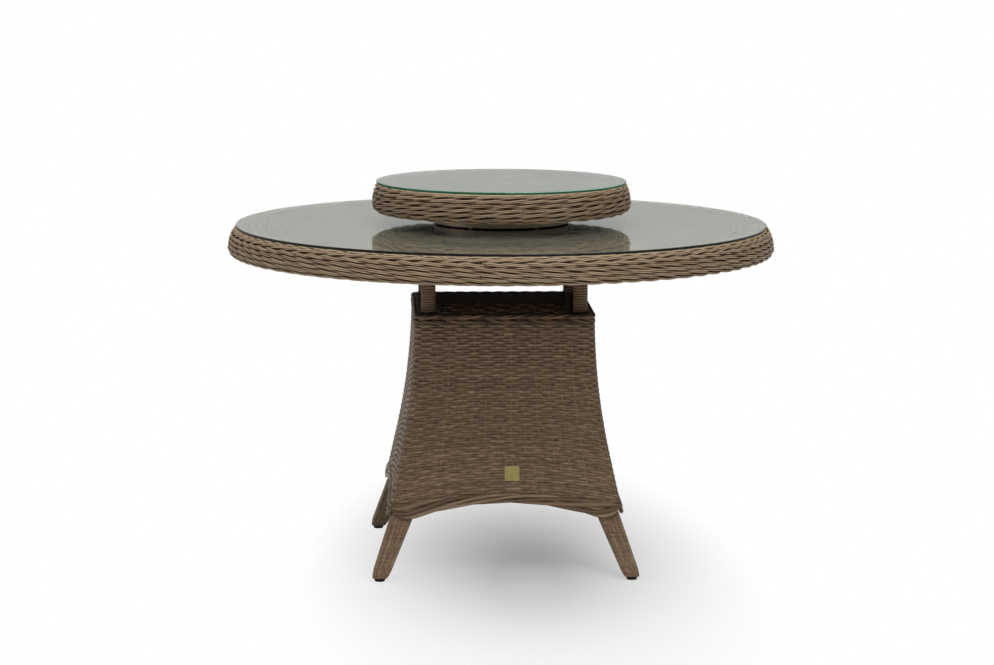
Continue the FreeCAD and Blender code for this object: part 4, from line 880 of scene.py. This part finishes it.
# Ropes of the upper border: inset from the skirt's face, lift from the middle, way of winding and swing
PLAIT_ROPES = ((0.0028, 0.005, 1, 0.0024), (0.0028, -0.005, -1, 0.0024), (0.0140, 0.006, 1, 0.0042))


def hem_lines(share, sunk, width):
    """Closed strands round the hem, at shares of its height and depths under the skirt's face."""
    along = np.linspace(-1.0, 1.0, share.shape[1])[None, :]
    x = along * skirt_half(ARCH_CROWN)
    low = lower_edge(x)
    tall = hem_top(x) - low
    height = low + tall * (width / 2.0 + share * (1.0 - width))
    point, outward, up = skirt_face(along, height)
    lines = around_skirt(point - sunk[..., None] * outward, outward, up)
    half_up = np.tile((tall * width / 2.0)[:, :-1], len(SIDES))
    return Strands(*lines, HEM_THICK, half_up, closed=True)


def twisted_hem(turns):
    """Strands that twist slowly along the hem, over flat strands that fill it."""
    run = np.linspace(0.0, 1.0, BORDER_STEPS)[None, :]
    number = np.arange(HEM_STRANDS)[:, None]
    phase = FULL_TURN * (turns * run + number / HEM_STRANDS)
    sunk = HEM_SWING * (HEM_AHEAD - np.cos(phase))
    twist = hem_lines(0.5 + 0.5 * np.sin(phase), sunk, HEM_TWIST_WIDTH)
    share = (number + 0.5) / HEM_STRANDS + 0.0 * run
    fill = hem_lines(share, np.full_like(share, 2.0 * HEM_THICK), HEM_FILL_WIDTH)
    return [twist, fill]


def rope(line, turns, swing):
    """Closed strands that wind about a line. Negative turns wind the other way."""
    point, outward, up = line
    phase = np.linspace(0.0, 1.0, point.shape[1], endpoint=False)[None, :] * FULL_TURN * abs(turns)
    phase = phase + (np.arange(PLAIT_STRANDS) * FULL_TURN / PLAIT_STRANDS)[:, None]
    out = (swing * np.cos(phase))[..., None] * outward
    lift = (math.copysign(PLAIT_SWING_UP, turns) * np.sin(phase))[..., None] * up
    return Strands(point + out + lift, outward, up, swing, PLAIT_HALF_UP, closed=True)


def top_plait(turns):
    """Ropes of the skirt's upper border. The last lies behind the others and gets full painted shade."""
    along = np.linspace(-1.0, 1.0, BORDER_STEPS)[None, :]
    middle = (PANEL_TOP + SKIRT_TOP) / 2.0
    ropes = []
    for inset, lift, way, swing in PLAIT_ROPES:
        face = skirt_face(along, np.full_like(along, middle + lift), SKIRT_TOP_HALF - inset)
        ropes.append(rope(around_skirt(*face), way * turns, swing))
    # Full painted shade on the inner rope
    ropes[-1].depth = 1.0
    return ropes


# Feet and posts

SQUARE_POWER = 6.5


def round_square(turn, half):
    """Distance from the middle of a square with rounded corners, in a direction."""
    parts = np.abs([np.cos(turn), np.sin(turn)]) ** SQUARE_POWER
    return half * parts.sum(axis=0) ** (-1.0 / SQUARE_POWER)


FOOT_LOW_HALF = 0.0180
FOOT_HIGH_HALF = 0.0256
FOOT_TIP = 0.014
FOOT_TIP_ROUND = 0.0028
FOOT_OFFSET = 0.271544
FOOT_LEAN = 0.39034
FOOT_SWING = 0.0006
FOOT_THICK = 0.0016
FOOT_STEPS = 6
FOOT_STAKE_OUT = 0.0022
FOOT_STAKE_ASIDE = 0.0042
FOOT_STAKE_STEPS = 12
POST_STRAND_HALF = 0.00225
POST_STRAND_CLOSE = 0.98
POST_PROUD = 0.0014
POST_STEPS = 18


def foot_face(corner, turn, share, sunk):
    """Points at a depth under the face of one slanted foot, with outward and sideways directions."""
    low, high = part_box("leg_sleeve_" + corner)
    middle = (low + high) / 2.0
    rise = share * (high.z - low.z)
    half = FOOT_LOW_HALF + share * (FOOT_HIGH_HALF - FOOT_LOW_HALF)
    half = half - FOOT_TIP_ROUND * np.clip(1.0 - rise / FOOT_TIP, 0.0, 1.0) ** 2
    offset = FOOT_OFFSET - rise * FOOT_LEAN
    reach = round_square(turn, half) - sunk
    x = math.copysign(1.0, middle.x) * offset + reach * np.cos(turn)
    y = math.copysign(1.0, middle.y) * offset + reach * np.sin(turn)
    point = vectors(x, y, low.z + rise)
    outward = vectors(np.cos(turn), np.sin(turn), 0.0)
    return point, outward, vectors(-np.sin(turn), np.cos(turn), 0.0)


def foot_weave(corner, rows, stakes):
    """Plain weave round one foot, with its stakes."""
    low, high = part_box("leg_sleeve_" + corner)
    row = np.arange(rows)[:, None]
    turn = full_turn(stakes * FOOT_STEPS)[None, :]
    wave = np.cos(turn * stakes / 2.0 + math.pi * row)
    sunk = FOOT_SWING * (1.0 - wave) + FOOT_THICK - PROUD
    centre, outward, _ = foot_face(corner, turn, (row + 0.5) / rows, sunk)
    half_up = ROW_SHARE * (high.z - low.z) / rows
    weave = Strands(centre, outward, UPWARD, FOOT_THICK, half_up, closed=True)
    stake_turn = (np.arange(stakes) * FULL_TURN / stakes)[:, None]
    down = np.linspace(1.0, 0.0, FOOT_STAKE_STEPS)[None, :]
    centre, outward, aside = foot_face(corner, stake_turn, down, FOOT_SWING + FOOT_THICK)
    return [weave, Strands(centre, outward, aside, FOOT_STAKE_OUT, FOOT_STAKE_ASIDE)]


def post_winding(corner, turns):
    """Strand wound close round the bare part of one post."""
    low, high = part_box("post_wrap_" + corner)
    middle = (low + high) / 2.0
    half_up = (high.z - low.z) / (turns + 1.0) / 2.0
    reach = (high.x - low.x) / 2.0 - POST_STRAND_HALF + POST_PROUD
    steps = turns * POST_STEPS
    turn = np.linspace(0.0, turns * FULL_TURN, steps)[None, :]
    height = np.linspace(low.z + half_up, high.z - half_up, steps)[None, :]
    outward = vectors(np.cos(turn), np.sin(turn), 0.0)
    centre = vectors(middle.x, middle.y, height) + reach * outward
    return Strands(centre, outward, UPWARD, POST_STRAND_HALF, half_up * POST_STRAND_CLOSE)


# Operators

class WICKER_OT_table_rim(Operator):
    """Weaves the band round the edge of the table top"""

    bl_idname = "wicker.table_rim"
    bl_label = "Table rim"

    def execute(self, context):
        weave = context.scene.wicker_weave
        node = "table_rim_weave"
        band = band_of(node, TABLE_BAND)
        finish = wicker_finish("wicker_rim")
        middle = weave.rim_rows // 2
        for name, first, last in (("upper", 0, middle), ("lower", middle, weave.rim_rows)):
            rows = np.arange(first, last)
            seed = TABLE_SEED + first
            strands = twined_rows(band, weave.rim_rows, rows, weave.rim_stakes, TABLE_OPPOSITE, seed)
            woven_piece("table_rim_" + name, [strands], finish, "table", node)
        lining = band_lining(band, weave.rim_rows, weave.rim_stakes)
        woven_piece("table_rim_lining", lining, wicker_finish("wicker_lining"), "table", node)
        return {"FINISHED"}


class WICKER_OT_tray_rim(Operator):
    """Weaves the band round the edge of the turning tray"""

    bl_idname = "wicker.tray_rim"
    bl_label = "Tray rim"

    def execute(self, context):
        weave = context.scene.wicker_weave
        node = "susan_rim_weave"
        band = band_of(node, TRAY_BAND)
        rows = np.arange(weave.tray_rows)
        strands = twined_rows(band, weave.tray_rows, rows, weave.tray_stakes, TRAY_OPPOSITE, TRAY_SEED)
        woven_piece("tray_rim", [strands], wicker_finish("wicker_tray"), "turntable", node)
        lining = band_lining(band, weave.tray_rows, weave.tray_stakes)
        woven_piece("tray_rim_lining", lining, wicker_finish("wicker_tray_lining"), "turntable", node)
        return {"FINISHED"}


class WICKER_OT_decks(Operator):
    """Weaves the discs under both panes"""

    bl_idname = "wicker.decks"
    bl_label = "Decks"

    def execute(self, context):
        weave = context.scene.wicker_weave
        for name, node, rings, body in (
            ("table_deck", "table_deck_weave", weave.deck_rings, "table"),
            ("tray_deck", "susan_deck_weave", weave.tray_rings, "turntable"),
        ):
            woven_piece(name, woven_disc(node, rings), wicker_finish("wicker_" + name), body, node)
        return {"FINISHED"}


class WICKER_OT_skirt(Operator):
    """Weaves the four flared sides of the skirt"""

    bl_idname = "wicker.skirt"
    bl_label = "Skirt"

    def execute(self, context):
        weave = context.scene.wicker_weave
        finish = wicker_finish("wicker_skirt")
        for side, name in enumerate(SIDES):
            groups = skirt_side(side, weave.skirt_rows, weave.skirt_bays)
            woven_piece("skirt_" + name, groups, finish, "table", "skirt_panel_" + name)
        return {"FINISHED"}


class WICKER_OT_skirt_borders(Operator):
    """Plaits the skirt's top border and twists its hem"""

    bl_idname = "wicker.skirt_borders"
    bl_label = "Skirt borders"

    def execute(self, context):
        weave = context.scene.wicker_weave
        braids = top_plait(weave.braid_turns)
        woven_piece("skirt_top_plait", braids, wicker_finish("wicker_plait"), "table", "skirt_top_braid")
        hem = twisted_hem(weave.hem_turns)
        woven_piece("skirt_hem_twist", hem, wicker_finish("wicker_hem"), "table", "skirt_hem_braid")
        return {"FINISHED"}


class WICKER_OT_posts(Operator):
    """Winds the strand round the four posts"""

    bl_idname = "wicker.posts"
    bl_label = "Posts"

    def execute(self, context):
        finish = wicker_finish("wicker_post")
        for corner in CORNERS:
            winding = post_winding(corner, context.scene.wicker_weave.wrap_turns)
            woven_piece("winding_" + corner, [winding], finish, "table", "post_wrap_" + corner)
        return {"FINISHED"}


class WICKER_OT_feet(Operator):
    """Weaves the four feet"""

    bl_idname = "wicker.feet"
    bl_label = "Feet"

    def execute(self, context):
        weave = context.scene.wicker_weave
        finish = wicker_finish("wicker_foot")
        for corner in CORNERS:
            groups = foot_weave(corner, weave.foot_rows, weave.foot_stakes)
            woven_piece("foot_" + corner, groups, finish, "table", "leg_sleeve_" + corner)
        dress(black_plastic_finish(), *named("foot_glide"))
        return {"FINISHED"}


class WICKER_OT_frame(Operator):
    """Finishes the metal frame, its screws and the tray's bearing"""

    bl_idname = "wicker.frame"
    bl_label = "Metal frame"

    def execute(self, context):
        coat = powder_coat_finish(context.scene.wicker_colours)
        dress(coat, *named("hoop", "_bars", "head_plates", "leg_tube", "rail", "stays"))
        dress(turned_metal_finish("steel"), *named("bolt", "race", "balls", "screws", "bearing_plate"))
        dress(turned_metal_finish("aluminium"), "susan_base_ring")
        dress(turned_metal_finish("brass"), "bar_thread_inserts")
        dress(black_plastic_finish(), "bearing_cage")
        return {"FINISHED"}


class WICKER_OT_glass(Operator):
    """Finishes both panes and their clear pads"""

    bl_idname = "wicker.glass"
    bl_label = "Glass and pads"

    def execute(self, context):
        colours = context.scene.wicker_colours
        edge = colours.table_edge
        dress(pane_finish("table_pane", TABLE_FACE, edge, edge), "table_glass")
        tones = (colours.tray_edge, colours.tray_arris_highlight)
        dress(pane_finish("tray_pane", TRAY_FACE, *tones), "susan_glass")
        dress(clear_pad_finish(), *named("pads"))
        return {"FINISHED"}


class WICKER_OT_plate(Operator):
    """Finishes the blank plate and its rivets"""

    bl_idname = "wicker.plate"
    bl_label = "Plate"

    def execute(self, context):
        dress(plate_finish(context.scene.wicker_colours), "name_plate", "name_plate_rivets")
        return {"FINISHED"}


class WICKER_OT_stage(Operator):
    """Sets the floor, the light and the camera"""

    bl_idname = "wicker.stage"
    bl_label = "Stage"

    def execute(self, context):
        context.scene.view_settings.view_transform = "Standard"
        lay_floor(context.scene.wicker_colours)
        light_world(context.scene)
        hang_lights(context.scene.wicker_stage)
        place_camera(context.scene)
        return {"FINISHED"}


# Stage

FLOOR_RADIUS = 4.0
SHADOW_MIDDLE = (0.05, -0.30, 0.0)
SHADOW_REACH = (0.50, 1.60, 1.0)
SHADOW_NEAR = 0.15
SHADOW_WHITE = 0.25

# Softboxes: name, which is also that of the power setting, size, place and aim
SOFTBOXES = (
    ("overhead", 4.0, (0.0, -0.6, 3.6), (0.0, 0.0, 0.6)),
    ("front", 2.5, (1.3, -4.2, 3.3), (0.0, 0.0, 0.4)),
    ("left", 2.5, (-4.0, -0.5, 1.8), (0.0, 0.0, 0.5)),
)


def seen_rays(tree):
    """1 for rays from the camera and for what glass and metal show, 0 for light on the object."""
    path = add(tree, "ShaderNodeLightPath").outputs
    seen = sums(tree, "MAXIMUM", path["Is Camera Ray"], path["Is Glossy Ray"])
    return sums(tree, "MAXIMUM", seen, path["Is Transmission Ray"])


def lay_floor(colours):
    """Pale floor that keeps the shadow near the feet, fades into the white and is clear from below."""
    bpy.ops.mesh.primitive_circle_add(vertices=96, radius=FLOOR_RADIUS, fill_type="TRIFAN")
    floor = bpy.context.object
    floor.name = "floor"
    inputs = {"Base Color": (*colours.floor, 1.0), "Roughness": 0.8, "Specular IOR Level": 0.0}
    finish, tree, shader = new_finish("pale_floor", inputs)
    place = object_place(tree)
    kind = "ShaderNodeVectorMath"
    for operation, other in (("SUBTRACT", SHADOW_MIDDLE), ("DIVIDE", SHADOW_REACH)):
        place = add(tree, kind, {0: place, 1: other}, operation=operation).outputs["Vector"]
    reach = add(tree, kind, {0: place}, operation="LENGTH").outputs["Value"]
    fade = spread(tree, reach, SHADOW_NEAR, 1.0, SHADOW_WHITE, 1.0)
    white = add(tree, "ShaderNodeEmission", {"Color": WHITE, "Strength": 1.0})
    share = sums(tree, "MULTIPLY", fade, seen_rays(tree))
    above = mixed(tree, share, shader.outputs["BSDF"], white.outputs["Emission"])
    from_below = add(tree, "ShaderNodeNewGeometry").outputs["Backfacing"]
    clear = add(tree, "ShaderNodeBsdfTransparent")
    whole = mixed(tree, from_below, above, clear.outputs["BSDF"])
    fill(tree, tree.nodes["Material Output"], {"Surface": whole})
    floor.data.materials.append(finish)


def light_world(scene):
    """White where it is seen, greyer where it is mirrored, a soft even light elsewhere."""
    stage = scene.wicker_stage
    world = bpy.data.worlds.new("studio")
    world.use_nodes = True
    scene.world = world
    tree = world.node_tree
    path = add(tree, "ShaderNodeLightPath").outputs
    lit = spread(tree, path["Is Glossy Ray"], 0.0, 1.0, stage.ambient, stage.shine)
    seen = sums(tree, "MAXIMUM", path["Is Camera Ray"], path["Is Transmission Ray"])
    white = sums(tree, "SUBTRACT", 1.0, lit)
    strength = sums(tree, "MULTIPLY_ADD", seen, white, lit)
    fill(tree, tree.nodes["Background"], {"Color": WHITE, "Strength": strength})


def hang_lights(stage):
    """Square softboxes above, in front and at the left, each aimed at a point."""
    for name, size, place, aim in SOFTBOXES:
        lamp = bpy.data.lights.new(name, "AREA")
        lamp.energy = getattr(stage, name)
        lamp.size = size
        light = bpy.data.objects.new(name, lamp)
        light.location = place
        light.rotation_euler = (Vector(aim) - Vector(place)).to_track_quat("-Z", "Y").to_euler()
        bpy.context.scene.collection.objects.link(light)


def place_camera(scene):
    """Camera at the photograph's place, with its heading, dip and roll."""
    stage = scene.wicker_stage
    camera = bpy.data.objects.new("camera", bpy.data.cameras.new("camera"))
    camera.data.sensor_width = 36.0
    camera.data.sensor_fit = "HORIZONTAL"
    camera.data.lens = stage.lens
    heading = Matrix.Rotation(-stage.camera_heading, 4, "Z")
    dip = Matrix.Rotation(QUARTER - stage.camera_dip, 4, "X")
    roll = Matrix.Rotation(stage.camera_roll, 4, "Z")
    camera.matrix_world = Matrix.Translation(stage.camera_place) @ heading @ dip @ roll
    scene.collection.objects.link(camera)
    scene.camera = camera


class WICKER_PT_table(Panel):
    """Settings and makers of the table's pieces"""

    bl_idname = "WICKER_PT_table"
    bl_label = "Wicker table"
    bl_space_type = "VIEW_3D"
    bl_region_type = "UI"
    bl_category = "Wicker table"

    def draw(self, context):
        for name in SETTINGS:
            settings = getattr(context.scene, name)
            box = self.layout.box()
            for key in settings.__annotations__:
                box.prop(settings, key)
        for maker in MAKERS:
            self.layout.operator(maker.bl_idname)


SETTINGS = {
    "wicker_weave": WeaveSettings,
    "wicker_colours": ColourSettings,
    "wicker_stage": StageSettings,
}
MAKERS = (
    WICKER_OT_table_rim,
    WICKER_OT_tray_rim,
    WICKER_OT_decks,
    WICKER_OT_skirt,
    WICKER_OT_skirt_borders,
    WICKER_OT_posts,
    WICKER_OT_feet,
    WICKER_OT_frame,
    WICKER_OT_glass,
    WICKER_OT_plate,
    WICKER_OT_stage,
)


def register():
    for name, group in SETTINGS.items():
        bpy.utils.register_class(group)
        setattr(bpy.types.Scene, name, PointerProperty(type=group))
    for maker in (*MAKERS, WICKER_PT_table):
        bpy.utils.register_class(maker)


def unregister():
    for maker in (WICKER_PT_table, *reversed(MAKERS)):
        bpy.utils.unregister_class(maker)
    for name, group in SETTINGS.items():
        delattr(bpy.types.Scene, name)
        bpy.utils.unregister_class(group)


def main():
    register()
    for maker in MAKERS:
        family, action = maker.bl_idname.split(".")
        getattr(getattr(bpy.ops, family), action)()


if __name__ == "__main__":
    main()
